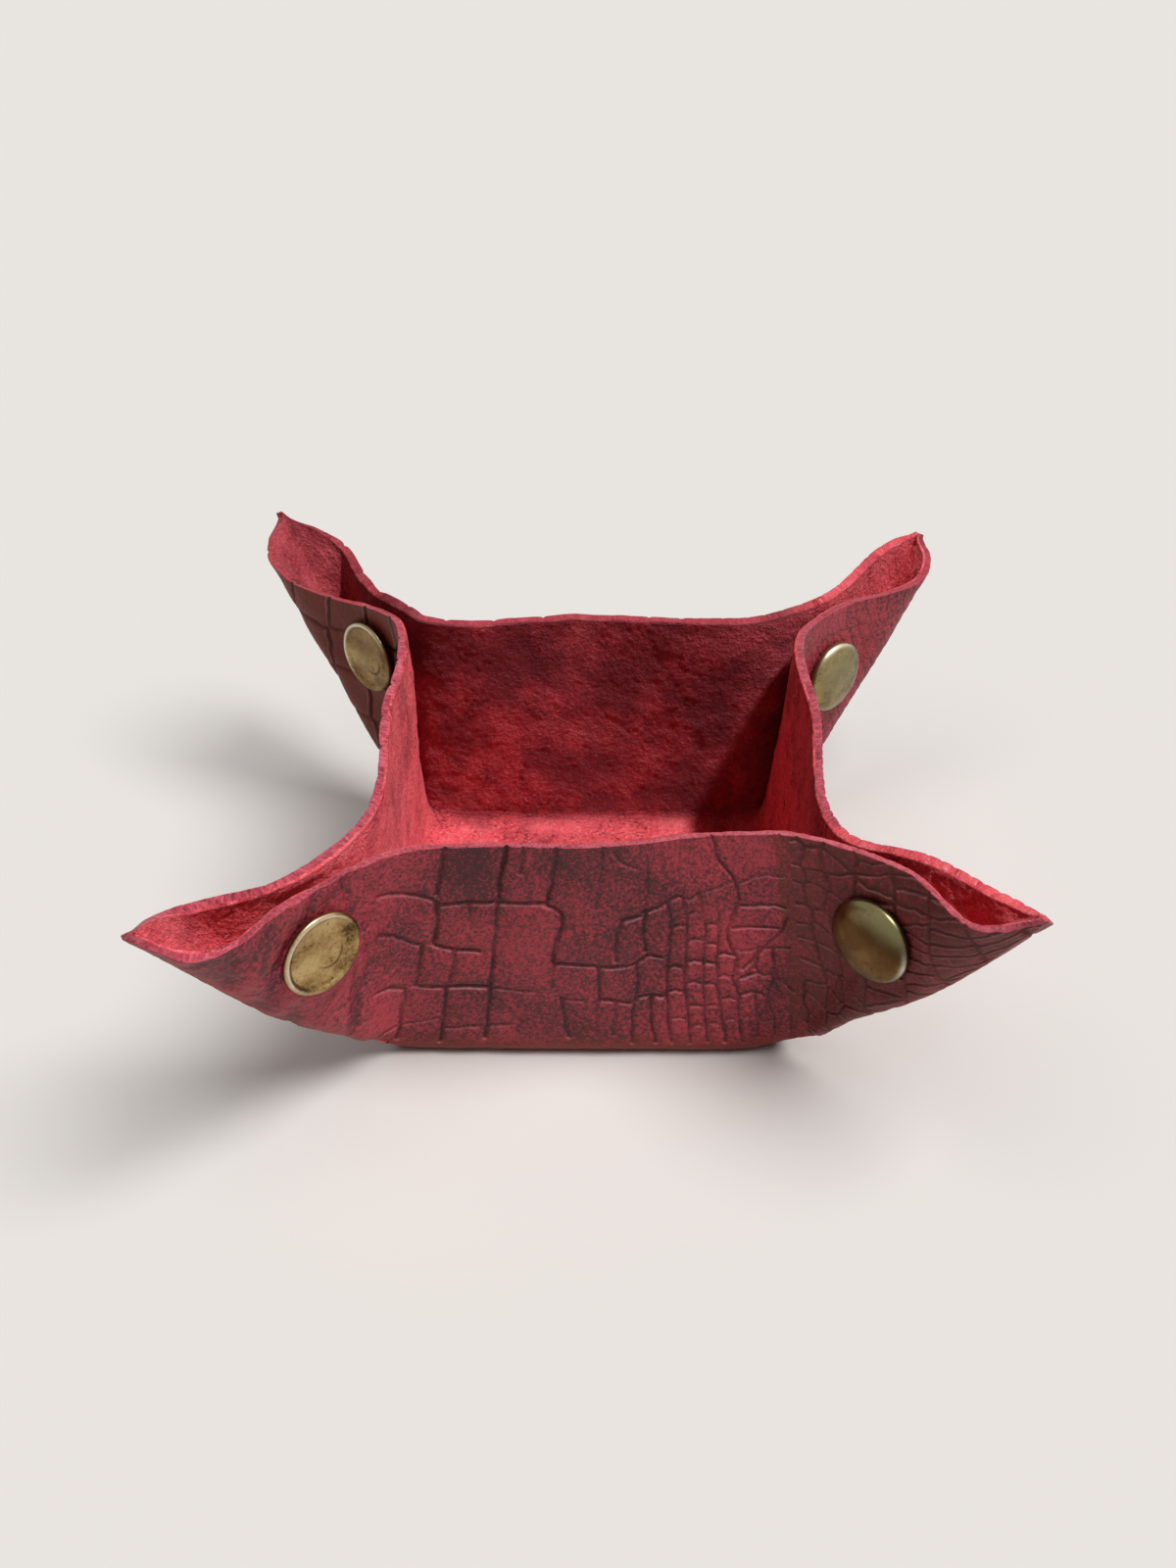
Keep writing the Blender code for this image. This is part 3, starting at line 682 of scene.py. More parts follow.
# The napped inner side, in mm: an uneven nap with a few soft creases
fleshSide = {
    "nap": ((0.07, 0.8, 41), (0.08, 1.7, 42), (0.11, 4.5, 43), (0.14, 9.0, 44)),
    "creases": ((1, 6.0, 45), (0.4, 1.6, 46)), "creased": ((2, 7.0, 47),),
    "creaseWidth": 0.10, "creaseHeight": 0.12,
}


def suedeRelief(x, y):
    height = ripples(x, y, fleshSide["nap"])
    ridge = 1 - np.abs(ripples(x, y, fleshSide["creases"])) / fleshSide["creaseWidth"]
    height += fleshSide["creaseHeight"] * np.clip(ridge, 0, 1) * smooth(ripples(x, y, fleshSide["creased"]))
    return height * mm


# Panels of hide
def gridFaces(rows, columns, base):
    i, j = np.meshgrid(np.arange(rows - 1), np.arange(columns - 1), indexing="ij")
    first = base + i * columns + j
    return np.stack([first, first + 1, first + columns + 1, first + columns], -1).reshape(-1, 4)


def gridNormals(points, reference):
    normals = unit(np.cross(np.gradient(points, axis=0), np.gradient(points, axis=1)))
    middle = normals[points.shape[0] // 2, points.shape[1] // 2]
    return -normals if np.dot(middle, reference) < 0 else normals


# The raw cut along the rim: steps across the thickness, its crown and fuzz, how far the inner
# face slopes back to it, and how many of its steps the suede covers
rimCut = {
    "steps": 6, "crown": 0.20 * mm, "flatness": 0.6, "roundness": 0.5,
    "fuzz": 0.03 * mm, "fuzzSizes": (1.1, 2.5), "fuzzSeeds": (52, 58), "fuzzShift": 37,
    "slope": (0.55 * mm, 0.34 * mm, 0.18 * mm, 0.06 * mm),
    "suedeSteps": 3,
    "overlap": {("right", "front_right"): 5, ("back", "back_right"): 6, ("back", "back_left"): 6,
                ("left", "back_left"): 4},
}
hideMarks = ("gap", "facing", "depth", "tone", "fold")


def addPiece(name, mesh):
    piece = bpy.data.objects.new(name, mesh)
    bpy.context.scene.collection.objects.link(piece)
    litTray.objects.link(piece)
    return piece


def panelFaces(rows, columns, steps):
    # Faces of the outer side, the inner side, the cut rim, the other edges and the rim's ends
    count = rows * columns
    low = np.arange(columns)
    left = np.arange(rows) * columns
    right = left + columns - 1
    ring = [low + (rows - 1) * columns]
    ring += [low + 2 * count + k * columns for k in range(steps)]
    ring += [low + count + (rows - 1) * columns]
    rim = np.concatenate([np.stack([a[:-1], b[:-1], b[1:], a[1:]], -1) for a, b in zip(ring, ring[1:])])
    sides = np.concatenate([
        np.stack([low[:-1], low[1:], low[1:] + count, low[:-1] + count], -1),
        np.stack([left[:-1], left[:-1] + count, left[1:] + count, left[1:]], -1),
        np.stack([right[:-1], right[1:], right[1:] + count, right[:-1] + count], -1),
    ])
    ends = [[int(line[0]) for line in ring], [int(line[-1]) for line in ring][::-1]] if steps else []
    inner = gridFaces(rows, columns, count)
    return gridFaces(rows, columns, 0), inner[:, ::-1], rim[:, ::-1], sides[:, ::-1], ends


def writeMarks(mesh, grid, steps):
    # Each point's place on the flat hide, in mm, with its depth into the cut, and the marks
    # of the grain side
    rows, columns = grid["x"].shape
    count = rows * columns
    total = len(mesh.vertices)
    place = np.zeros((total, 3), np.float32)
    flat = np.stack([grid["x"], grid["y"], np.zeros_like(grid["x"])], -1).reshape(-1, 3)
    place[:count] = flat
    place[count:2 * count] = flat
    if steps:
        depths = np.arange(1, steps + 1) / (steps + 1) * hide["thickness"] / mm
        place[2 * count:] = np.tile(flat[-columns:], (steps, 1))
        place[2 * count:, 2] = np.repeat(depths, columns)
    mesh.attributes.new("hidePlace", "FLOAT_VECTOR", "POINT").data.foreach_set("vector", place.ravel())
    for key in hideMarks:
        values = np.zeros(total, np.float32)
        values[:count] = grid[key].ravel()
        mesh.attributes.new(key, "FLOAT", "POINT").data.foreach_set("value", values)


def writeNormals(mesh, grid, firstEdge):
    # The two faces keep the normals of their relief; the edges are left to Blender
    loops = np.empty(len(mesh.loops), np.int32)
    mesh.loops.foreach_get("vertex_index", loops)
    loopStart = np.empty(len(mesh.polygons), np.int32)
    mesh.polygons.foreach_get("loop_start", loopStart)
    normals = np.zeros((len(mesh.vertices), 3))
    faces = np.concatenate([grid["normalOuter"].reshape(-1, 3), grid["normalInner"].reshape(-1, 3)])
    normals[:len(faces)] = faces
    loopNormals = normals[loops]
    loopNormals[loopStart[firstEdge]:] = 0
    mesh.normals_split_custom_set(loopNormals.tolist())


def hidePanel(name, grid, materials):
    # A closed piece of hide from matching grids of its outer and inner face
    outer = grid["outer"]
    rows, columns = outer.shape[:2]
    steps = rimCut["steps"] if "rim" in grid else 0
    outerFaces, innerFaces, rimFaces, sides, ends = panelFaces(rows, columns, steps)
    polygons = np.concatenate([outerFaces, innerFaces, rimFaces, sides]).tolist() + ends
    row, column = rows // 2, columns // 2
    upward = outer[row + 1, column] - outer[row, column]
    sideways = outer[row, column + 1] - outer[row, column]
    if np.dot(np.cross(upward, sideways), grid["normalOuter"][row, column]) > 0:
        polygons = [face[::-1] for face in polygons]
    verts = [grid[face].reshape(-1, 3) for face in ("outer", "inner", "rim") if face in grid]
    mesh = bpy.data.meshes.new(name)
    mesh.from_pydata(np.concatenate(verts).tolist(), [], polygons)
    grainSide, suedeSide, cutSide = range(3)
    index = np.full(len(polygons), suedeSide, np.int32)
    index[:len(outerFaces)] = grainSide
    firstEdge = len(outerFaces) + len(innerFaces)
    lastCut = firstEdge + len(rimFaces)
    index[firstEdge:lastCut] = cutSide
    if steps:  # the suede's fibres reach over the inner part of the cut
        overlap = grid.get("overlap", rimCut["suedeSteps"])
        index[firstEdge + (steps + 1 - overlap) * (columns - 1):lastCut] = suedeSide
    mesh.polygons.foreach_set("material_index", index)
    for material in materials:
        mesh.materials.append(material)
    mesh.shade_smooth()
    writeMarks(mesh, grid, steps)
    writeNormals(mesh, grid, firstEdge)
    return addPiece(name, mesh)


def wallPlaces(wall):
    # Places on the flat hide: rows outwards from the floor's edge to the rim, mitred inside
    # the fold, with one spare row and column all round for the normals
    shape = walls[wall]
    half = halfLength(wall)
    soft = hide["bendSoftness"]
    rows = round((wallHeight + soft) / meshStep)
    columns = round(2 * half / meshStep)
    q = -soft + (wallHeight + soft) * np.arange(-1, rows + 1) / rows
    q = np.append(q, wallHeight)[:, None]
    share = (2 * np.arange(-1, columns + 2) / columns - 1)[None, :]
    along = share * (half + np.minimum(q, 0))
    depth = baseHalfY if shape["out"][1] else baseHalfX
    x = shape["out"][0] * (depth + q) + shape["along"][0] * along
    y = shape["out"][1] * (depth + q) + shape["along"][1] * along
    return x + 0 * q, y + 0 * q, q + 0 * along


def dress(middle, normals, x, y, foldMark):
    # Outer and inner face from the middle surface, with relief, marks and normals
    height, pattern = grainRelief(x, y)
    outer = middle + normals * (halfThick + height)[..., None]
    inner = middle - normals * (halfThick + suedeRelief(x, y))[..., None]
    return {"outer": outer, "inner": inner, "x": x, "y": y, "fold": foldMark, **pattern}


def faceNormals(grid, reference):
    # Normals of the relief itself; its sign comes from the smooth surface's normals
    for face, sign in (("outer", 1), ("inner", -1)):
        points = grid[face]
        normals = unit(np.cross(np.gradient(points, axis=0), np.gradient(points, axis=1)))
        agree = np.sign(np.sum(normals * reference, axis=-1, keepdims=True))
        normals = normals * np.where(agree == 0, 1, agree) * sign
        grid["normalOuter" if sign > 0 else "normalInner"] = normals


def trim(grid, rowStart, rowEnd, columnStart, columnEnd):
    return {key: values[rowStart:rowEnd, columnStart:columnEnd] for key, values in grid.items()}


def addRim(grid, outward):
    # The raw cut: a shallow crown across the thickness, fuzzy and a little uneven
    outer, inner = grid["outer"][-1], grid["inner"][-1]
    share = np.clip(np.linalg.norm(outer - inner, axis=1) / hide["thickness"], 0, 1)
    x, y = grid["x"][-1], grid["y"][-1]
    (fineSize, wideSize), (fineSeed, wideSeed) = rimCut["fuzzSizes"], rimCut["fuzzSeeds"]
    for row, slope in enumerate(rimCut["slope"], 1):
        grid["inner"][-row] -= outward * slope
    half = (outer - grid["inner"][-1]) / 2
    middle = (outer + grid["inner"][-1]) / 2
    rows = []
    for k in range(1, rimCut["steps"] + 1):
        angle = math.pi * k / (rimCut["steps"] + 1)
        flat = math.copysign(abs(math.cos(angle)) ** rimCut["flatness"], math.cos(angle))
        fuzz = ripple(x + rimCut["fuzzShift"] * k, y, fineSize, fineSeed + k)
        fuzz = fuzz + ripple(x, y, wideSize, wideSeed)
        lift = (rimCut["crown"] * math.sin(angle) ** rimCut["roundness"] + rimCut["fuzz"] * fuzz) * share
        rows.append(middle + half * flat + outward * lift[:, None])
    grid["rim"] = np.array(rows)


# The hand-cut rim isn't straight, and the walls aren't flat, above all at the back left
handCut = {
    "wave": 0.20 * mm, "waves": ((1, 9.0, 61), (0.5, 4.0, 62)), "waveFrom": 30, "waveOver": 20,
    "bow": 0.22 * mm, "bows": ((1, 16.0, 63), (0.4, 6.0, 64)), "bowOver": 30,
    "slack": 2.2, "slackFrom": -34, "slackOver": (3, 12),
}


def unrest(middle, normals, x, y, q):
    x, y, q = x / mm, y / mm, q / mm
    overX, overY = handCut["slackOver"]
    slack = 1 + handCut["slack"] * smooth((handCut["slackFrom"] - x) / overX) * smooth(y / overY)
    high = smooth((q - handCut["waveFrom"]) / handCut["waveOver"])
    lift = handCut["wave"] * ripples(x, y, handCut["waves"]) * slack * high
    bow = handCut["bow"] * ripples(x, y, handCut["bows"]) * slack * smooth(q / handCut["bowOver"])
    return middle + up * lift[..., None] + normals * bow[..., None]


def makeWall(wall, materials):
    x, y, q = wallPlaces(wall)
    middle = softSheet(x, y, walls[wall]["out"][0] != 0)
    normals = gridNormals(middle[:-1], walls[wall]["out"])
    normals = np.concatenate([normals, normals[-1:]])
    middle = unrest(middle, normals, x, y, q)
    foldMark = np.exp(-((q / mm - hide["tanPlace"]) / hide["tanWidth"]) ** 2)
    grid = dress(middle, normals, x / mm, y / mm, foldMark)
    faceNormals(grid, normals)
    grid = trim(grid, 1, -1, 1, -1)
    addRim(grid, rimWay(grid))
    piece = hidePanel(wall + "_hide", grid, materials)
    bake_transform(piece)
    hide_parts(wall + "_wall")


def rimWay(grid):
    centre = grid["outer"] + grid["inner"]
    return unit(centre[-1] - centre[-4])


def earLayer(wall, corner):
    # One layer of an ear up to its crease, before the crease is rounded
    shape = walls[wall]
    start = ear["notch"] / wallHeight
    rows = round(wallHeight * 1.1 / meshStep)
    columns = round(wallHeight / meshStep)
    rise = start + (1 - start) * np.arange(-1, rows + 1) / rows
    rise = np.append(rise, 1.0)[:, None]
    turn = (np.arange(-1, columns + 1) / columns)[None, :]
    q = rise * wallHeight + 0 * turn
    p = turn * q
    depth = baseHalfY if shape["out"][1] else baseHalfX
    side = sideOf(wall, corner)

    def flatPlace(past):
        along = side * (halfLength(wall) + past)
        return (shape["out"][0] * (depth + q) + shape["along"][0] * along,
                shape["out"][1] * (depth + q) + shape["along"][1] * along)

    x, y = flatPlace(p)
    middle = softSheet(x, y, shape["out"][0] != 0)
    normals = gridNormals(middle[:-1], across(wall, corner))
    normals = np.concatenate([normals, normals[-1:]])
    middle = unrest(middle, normals, x, y, q)
    slip = np.minimum(ear["creaseSlip"], q / 2)
    patternX, patternY = flatPlace(p - slip * np.clip(turn, 0, 1))
    return {"middle": middle, "normals": normals, "q": q, "p": p, "turn": turn + 0 * q,
            "patternX": patternX, "patternY": patternY, "slip": slip, "place": flatPlace}


def creaseOf(wall, corner, layer):
    # Frame of the crease at each row, and where the outer face would meet its middle plane
    own = across(wall, corner)
    normals = layer["normals"][:, -1]
    edge = layer["middle"][:, -1] + normals * halfThick
    ray = np.gradient(layer["middle"][:-1, -1], axis=0)
    ray = np.concatenate([ray, ray[-1:]])
    below = unit(np.cross(ray, own))
    below *= np.where(below[:, 2:] > 0, -1, 1)
    angle = np.clip(np.arctan2(np.sum(normals * below, axis=1), normals @ own), 0, ear["steepest"])
    reach = (edge - baseCorner(corner)) @ own
    ridge = edge - np.multiply.outer(reach, own)
    ridge = ridge + below * (ear["creaseRound"] * (1 - np.sin(angle)))[:, None]
    return {"own": own, "edge": edge, "below": below, "angle": angle, "reach": reach, "ridge": ridge}


def makeEar(corner, materials):
    pair = [wall for wall in walls if corner in walls[wall]["corners"]]
    layers = {wall: earLayer(wall, corner) for wall in pair}
    creases = {wall: creaseOf(wall, corner, layers[wall]) for wall in pair}
    ridge = sum(crease["ridge"] for crease in creases.values()) / 2
    below = unit(sum(crease["below"] for crease in creases.values()))
    for wall in pair:
        makeEarPiece(wall, corner, layers[wall], creases[wall], ridge, below, materials)


def makeEarPiece(wall, corner, layer, crease, ridge, below, materials):
    own, angle, reach = crease["own"], crease["angle"], crease["reach"]
    steps = ear["creaseSteps"]
    q, p = layer["q"], layer["p"]
    opened = smooth((q[:, -1] / mm - ear["closed"]) / ear["opening"])
    outerMiddle, normals = [layer["middle"]], [layer["normals"]]
    patternX, patternY = [layer["patternX"]], [layer["patternY"]]
    for k in range(1, steps + 1):
        share = k / steps
        turned = angle + (math.pi / 2 - angle) * share
        side = reach * np.cos(turned) / np.cos(angle) - reach
        drop = ear["creaseRound"] * (np.sin(turned) - np.sin(angle)) * opened
        face = crease["edge"] + np.multiply.outer(side, own) + crease["below"] * drop[:, None]
        face = face + (ridge - crease["ridge"]) * share * opened[:, None]
        normal = unit(np.multiply.outer(np.cos(turned), own) + crease["below"] * np.sin(turned)[:, None])
        if k == steps:
            normal = below
        outerMiddle.append((face - normal * halfThick)[:, None])
        normals.append(normal[:, None])
        places = layer["place"](p - layer["slip"] * (1 - share))
        patternX.append(places[0][:, -1:])
        patternY.append(places[1][:, -1:])
    middle = np.concatenate(outerMiddle, 1)
    normals = np.concatenate(normals, 1)
    x = np.concatenate(patternX, 1)
    y = np.concatenate(patternY, 1)
    toCrease = np.abs(np.abs(x) - baseHalfX - np.abs(y) + baseHalfY)
    distance = np.hypot(np.abs(x) - baseHalfX, np.abs(y) - baseHalfY)
    foldMark = np.exp(-(distance / mm / ear["tanReach"]) ** 2)
    foldMark = np.maximum(ear["tanShare"] * np.exp(-(toCrease / mm / ear["tanReach"]) ** 2), foldMark)
    grid = dress(middle, normals, x / mm, y / mm, foldMark)
    # Painted shade on ear layers that face away from the key light, browner and darker away from the base
    # corner, and painted light on those that face it
    brownAndShade = ear["brownAndShade"].get((wall, corner), 0) * smooth(distance / mm / ear["paintedShadeReach"])
    grid["tone"] = grid["tone"] - ear["paintedShadeDepth"] * brownAndShade + ear["paintedLight"].get((wall, corner), 0)
    grid["fold"] = np.maximum(grid["fold"], brownAndShade)
    columns = layer["q"].shape[1]
    innerEdge = grid["inner"][:, columns - 1].copy()
    toMiddle = np.multiply.outer((innerEdge - baseCorner(corner)) @ own, own)
    for k in range(1, steps + 1):
        grid["inner"][:, columns - 1 + k] = innerEdge - toMiddle * (k / steps)
    faceNormals(grid, normals)
    last = grid["normalOuter"][:, -1]
    grid["normalOuter"][:, -1] = unit(last - np.multiply.outer(last @ own, own))
    grid = trim(grid, 1, -1, 1, None)
    addRim(grid, rimWay(grid))
    squeezeTip(grid, corner, own)
    grid["overlap"] = rimCut["overlap"].get((wall, corner), rimCut["suedeSteps"])
    piece = hidePanel(wall + "_hide_ear_" + corner, grid, materials)
    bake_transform(piece)
    fanOut(wall, corner, np.concatenate([layer["turn"][0, 1:], np.ones(steps)]), grid)
    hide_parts(wall + "_wall_ear_" + corner)


def squeezeTip(grid, corner, own):
    # The hide's own corner is crushed to a point where its two layers meet
    tip = namedPoint(corner, "tip")
    for face in ("outer", "inner", "rim"):
        offset = grid[face] - tip
        near = 1 - smooth(np.linalg.norm(offset, axis=-1) / ear["tipReach"])
        grid[face] = grid[face] - (ear["tipSqueeze"][corner] * near * (offset @ own))[..., None] * own


def fanOut(wall, corner, turn, grid):
    # Works out weights for the bend round the base corner, which follow the angle within the ear, with full
    # weight for the hide under the stud; they are not stored on the piece
    weight = smooth(turn / ear["bendShare"])
    axis = layerAxis(wall, corner)
    total = []
    for face in ("outer", "inner", "rim"):
        offset = grid[face] - snapPlace(corner)[0]
        radius = np.linalg.norm(offset - (offset @ axis)[..., None] * axis, axis=-1)
        held = 1 - smooth((radius - ear["seatRadius"]) / ear["holdFade"])
        total.append(np.maximum(weight, held * smooth(turn / ear["holdStart"])).ravel())
    total = np.concatenate(total).astype(np.float32)


def makeFloor(materials):
    soft = hide["bendSoftness"]
    columns = round(2 * (baseHalfX - soft) / meshStep)
    rows = round(2 * (baseHalfY - soft) / meshStep)
    x = (2 * np.arange(-1, columns + 2) / columns - 1)[None, :] * (baseHalfX - soft)
    y = (2 * np.arange(-1, rows + 2) / rows - 1)[:, None] * (baseHalfY - soft)
    x, y = x + 0 * y, y + 0 * x
    middle = softSheet(x, y, False)
    normals = gridNormals(middle, -up)
    grid = dress(middle, normals, x / mm, y / mm, 0 * x)
    faceNormals(grid, normals)
    piece = hidePanel("floor_hide", trim(grid, 1, -1, 1, -1), materials)
    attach(piece, "floor")
    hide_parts("floor_panel")


# Press studs of stamped and turned brass
stud = {
    "gap": 0.3 * mm,
    "capRadius": 7.5 * mm, "capHeight": 3.1 * mm, "capSkirt": 1.0 * mm, "capRoll": 0.35 * mm,
    "discRadius": 7.4 * mm, "discRim": 1.3 * mm, "discDish": 0.5 * mm, "discRimWidth": 1.0 * mm,
    "socketRadius": 5.8 * mm, "socketDepth": 1.8 * mm, "cavityRadius": 3.3 * mm,
    "flangeRadius": 5.2 * mm, "flange": 0.5 * mm, "knobRadius": 2.7 * mm, "knobHeight": 1.5 * mm,
    "postRadius": 1.8 * mm,
    "steps": 96,
    "sharpAngle": math.radians(50),
    "discSeed": 70, "capSeed": 90, "seedStep": 3,
    "domePower": 2.3, "domeSteps": 22,
    # In mm: low dents all over, each with its height and size
    "dent": 0.035, "capDents": ((1, 2.2), (0.6, 0.9)), "discDents": ((1, 2.0), (0.7, 0.8)),
    "dings": {"depth": 0.10, "size": 1.3, "from": 0.62, "over": 0.3, "within": 6.5},
    # In mm: the mark that the riveting tool left, a low ring a little off the disc's middle
    "setMark": {"place": (1.2, -0.6), "radius": 2.2, "width": 0.38, "height": 0.14, "least": 0.25,
                "hollow": 0.07, "hollowWidth": 1.6, "within": 5.8, "shaded": 2.62, "shadeWidth": 0.20},
}


def turnedBrass(name, outline, wall, corner, material, dents=None, fine=0.35 * mm, colourMarks=None):
    # Turns an outline of (radius, height) round the snap's axis. Heights are measured
    # outwards from the layer's outer face.
    dense = [outline[0]]
    for (r0, z0), (r1, z1) in zip(outline, outline[1:]):
        pieces = max(1, round(math.hypot(r1 - r0, z1 - z0) / fine))
        dense += [(r0 + (r1 - r0) * k / pieces, z0 + (z1 - z0) * k / pieces) for k in range(1, pieces + 1)]
    steps = stud["steps"]
    angles = 2 * math.pi * np.arange(steps) / steps
    verts, rings = [], []
    for radius, height in dense:
        count = 1 if radius == 0 else steps
        rings.append((len(verts), count))
        for angle in angles[:count]:
            verts.append((radius * math.cos(angle), radius * math.sin(angle), height))
    verts = np.array(verts)
    if dents is not None:
        top = verts[:, 2] > stud["gap"]
        verts[top, 2] += dents(verts[top, 0] / mm, verts[top, 1] / mm) * mm
    faces = []
    for (first, countA), (second, countB) in zip(rings, rings[1:]):
        for k in range(steps):
            n = (k + 1) % steps
            ring = [first + k % countA, second + k % countB, second + n % countB, first + n % countA]
            faces.append(list(dict.fromkeys(ring)))
    mesh = bpy.data.meshes.new(name)
    mesh.from_pydata(verts.tolist(), [], faces)
    mesh.materials.append(material)
    mesh.shade_smooth()
    mesh.set_sharp_from_angle(angle=stud["sharpAngle"])
    none = np.zeros(len(verts))
    finish = {"brownAndShade": none + brass["brownAndShade"][corner], "greenTint": none + brass["greenTint"][corner],
              "tarnishAndShade": none, "paintedHighlight": none}
    # colourMarks gives a stud's painted highlights, tarnish, painted shade and painted reflection
    if colourMarks is not None:
        finish.update(colourMarks(verts[:, 0] / mm, verts[:, 1] / mm))
    for kind, values in finish.items():
        mesh.attributes.new(kind, "FLOAT", "POINT").data.foreach_set("value", values.astype(np.float32))
    piece = addPiece(name, mesh)
    axis = Vector(layerAxis(wall, corner).tolist())
    face = Vector(snapPlace(corner)[0].tolist()) + axis * (ear["seatOffset"] + halfThick)
    piece.matrix_world = Matrix.Translation(face) @ axis.to_track_quat("Z", "Y").to_matrix().to_4x4()
    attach(piece, wall + "_ear_" + corner)
    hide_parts(name.replace("brass", "snap"))


def dome(radius, low, high):
    # Outline from the axis down to the rim
    power = stud["domePower"]
    shares = np.sin(np.linspace(0, math.pi / 2, stud["domeSteps"] + 1))
    return [(radius * share, low + (high - low) * (1 - share**power) ** (1 / power)) for share in shares]


def lowDents(x, y, sizes, seed):
    waves = [(height, size, seed + count) for count, (height, size) in enumerate(sizes)]
    return stud["dent"] * ripples(x, y, waves)


def ringAt(radius, place, width):
    return np.exp(-((radius - place) / width) ** 2)


def makeCap(wall, corner, material, seed):
    radius, gap, roll = stud["capRadius"], stud["gap"], stud["capRoll"]
    outline = dome(radius, stud["capSkirt"], stud["capHeight"])
    outline += [(radius - 0.03 * mm, stud["capSkirt"] - roll / 2), (radius - roll / 2, gap + roll / 5),
                (radius - roll, gap), (stud["postRadius"], gap), (stud["postRadius"], -hide["thickness"]),
                (0, -hide["thickness"])]

    def dents(x, y):
        ding = stud["dings"]
        deep = smooth((ripple(x, y, ding["size"], seed + 2) - ding["from"]) / ding["over"])
        deep = deep * (np.hypot(x, y) < ding["within"])
        return lowDents(x, y, stud["capDents"], seed) - ding["depth"] * deep

    # Painted highlight round the cap's edge, on its upper right side
    def colourMarks(x, y):
        edge = ringAt(np.hypot(x, y), 7.2, 0.35)
        finish = {"paintedHighlight": edge * smooth(0.35 + (x + 0.6 * y) / 9)}
        # Painted reflection over this cap: green and dark at the top, brown below, a painted dark band
        # between, and a painted highlight on its right edge
        if corner == brass["halved"]:
            half = brass["halvedCap"]
            high = smooth((y + half["slope"] * x - half["from"]) / half["over"])
            (leastGreen, moreGreen), (leastBrown, moreBrown) = half["greenTint"], half["brownAndShade"]
            finish["greenTint"] = leastGreen + moreGreen * high
            finish["brownAndShade"] = leastBrown + moreBrown * high
            band = ringAt(y + half["bandSlope"] * x, half["band"], half["bandWidth"])
            finish["tarnishAndShade"] = half["tarnishAndShade"] * band * smooth((x - half["bandFrom"]) / half["bandOver"])
            finish["paintedHighlight"] = edge * smooth(0.75 - np.abs(y + 1.5) / 7) * (x > -3) * 0.8
        return finish

    turnedBrass("brass_cap_" + corner, outline, wall, corner, material, dents, colourMarks=colourMarks)


def makeDisc(wall, corner, material, seed):
    radius, gap = stud["discRadius"], stud["gap"]
    rim, dish, width = stud["discRim"], stud["discDish"], stud["discRimWidth"]
    outline = [(0, rim - dish)]
    outline += [(radius - width - 0.5 * mm, rim - dish), (radius - width - 0.15 * mm, rim - dish * 0.75),
                (radius - width + 0.15 * mm, rim - dish * 0.22), (radius - width + 0.4 * mm, rim),
                (radius - 0.35 * mm, rim - 0.02 * mm), (radius - 0.12 * mm, rim - 0.16 * mm),
                (radius, rim - 0.42 * mm), (radius - 0.05 * mm, gap + 0.2 * mm), (radius - 0.25 * mm, gap),
                (stud["postRadius"], gap), (stud["postRadius"], -hide["thickness"]), (0, -hide["thickness"])]

    mark = stud["setMark"]
    markX, markY = mark["place"]

    def fromMark(x, y):
        return np.hypot(x - markX, y - markY)

    def lowSide(x, y):
        return smooth(0.35 + (0.5 * (x - markX) - (y - markY)) / 4)

    def dents(x, y):
        inside = np.hypot(x, y) < mark["within"]
        share = mark["least"] + (1 - mark["least"]) * lowSide(x, y)
        ring = ringAt(fromMark(x, y), mark["radius"], mark["width"]) * share
        hollow = ringAt(fromMark(x, y), 0, mark["hollowWidth"])
        pressed = (mark["height"] * ring - mark["hollow"] * hollow) * inside
        return lowDents(x, y, stud["discDents"], seed) + pressed

    def colourMarks(x, y):
        r = np.hypot(x, y)
        # Painted shade: a dark arc on the low side of the set mark's ring; tarnish in a broken ring just
        # inside the rim
        ring = ringAt(fromMark(x, y), mark["shaded"], mark["shadeWidth"]) * lowSide(x, y) ** 2
        under = 0.45 * ringAt(r, 6.0, 0.35) * np.clip(ripple(x, y, 3.0, seed + 5), 0, 1)
        # Painted highlight on the rim's upper left
        rim = 0.8 * ringAt(r, 6.85, 0.34) * smooth(0.42 + (0.9 * y - x) / 11)
        return {"tarnishAndShade": np.clip(ring + under, 0, 1), "paintedHighlight": rim}

    turnedBrass("brass_disc_" + corner, outline, wall, corner, material, dents, fine=0.2 * mm, colourMarks=colourMarks)


def makeSocket(wall, corner, material):
    inner = -hide["thickness"] - stud["gap"]
    mouth = inner - stud["socketDepth"]
    floor = inner - stud["flange"]
    radius, cavity, roll = stud["socketRadius"], stud["cavityRadius"], stud["capRoll"]
    outline = [(0, inner), (radius - roll, inner), (radius, inner - roll), (radius, mouth + roll),
               (radius - roll, mouth), (cavity + roll, mouth), (cavity, mouth + roll), (cavity, floor),
               (0, floor)]
    turnedBrass("brass_socket_" + corner, outline, wall, corner, material)


def makeStud(wall, corner, material):
    inner = -hide["thickness"] - stud["gap"]
    seat = inner - stud["flange"]
    knob, waist = stud["knobRadius"], 0.3 * mm
    top = seat - stud["knobHeight"]
    outline = [(0, inner), (stud["flangeRadius"] - 0.1 * mm, inner), (stud["flangeRadius"], inner - 0.1 * mm),
               (stud["flangeRadius"], seat + 0.1 * mm), (stud["flangeRadius"] - 0.1 * mm, seat),
               (knob - waist, seat), (knob - waist, seat - 0.3 * mm), (knob, seat - 0.75 * mm),
               (knob - 0.15 * mm, seat - 1.15 * mm), (knob - 0.6 * mm, top + 0.05 * mm), (0, top)]
    turnedBrass("brass_stud_" + corner, outline, wall, corner, material)


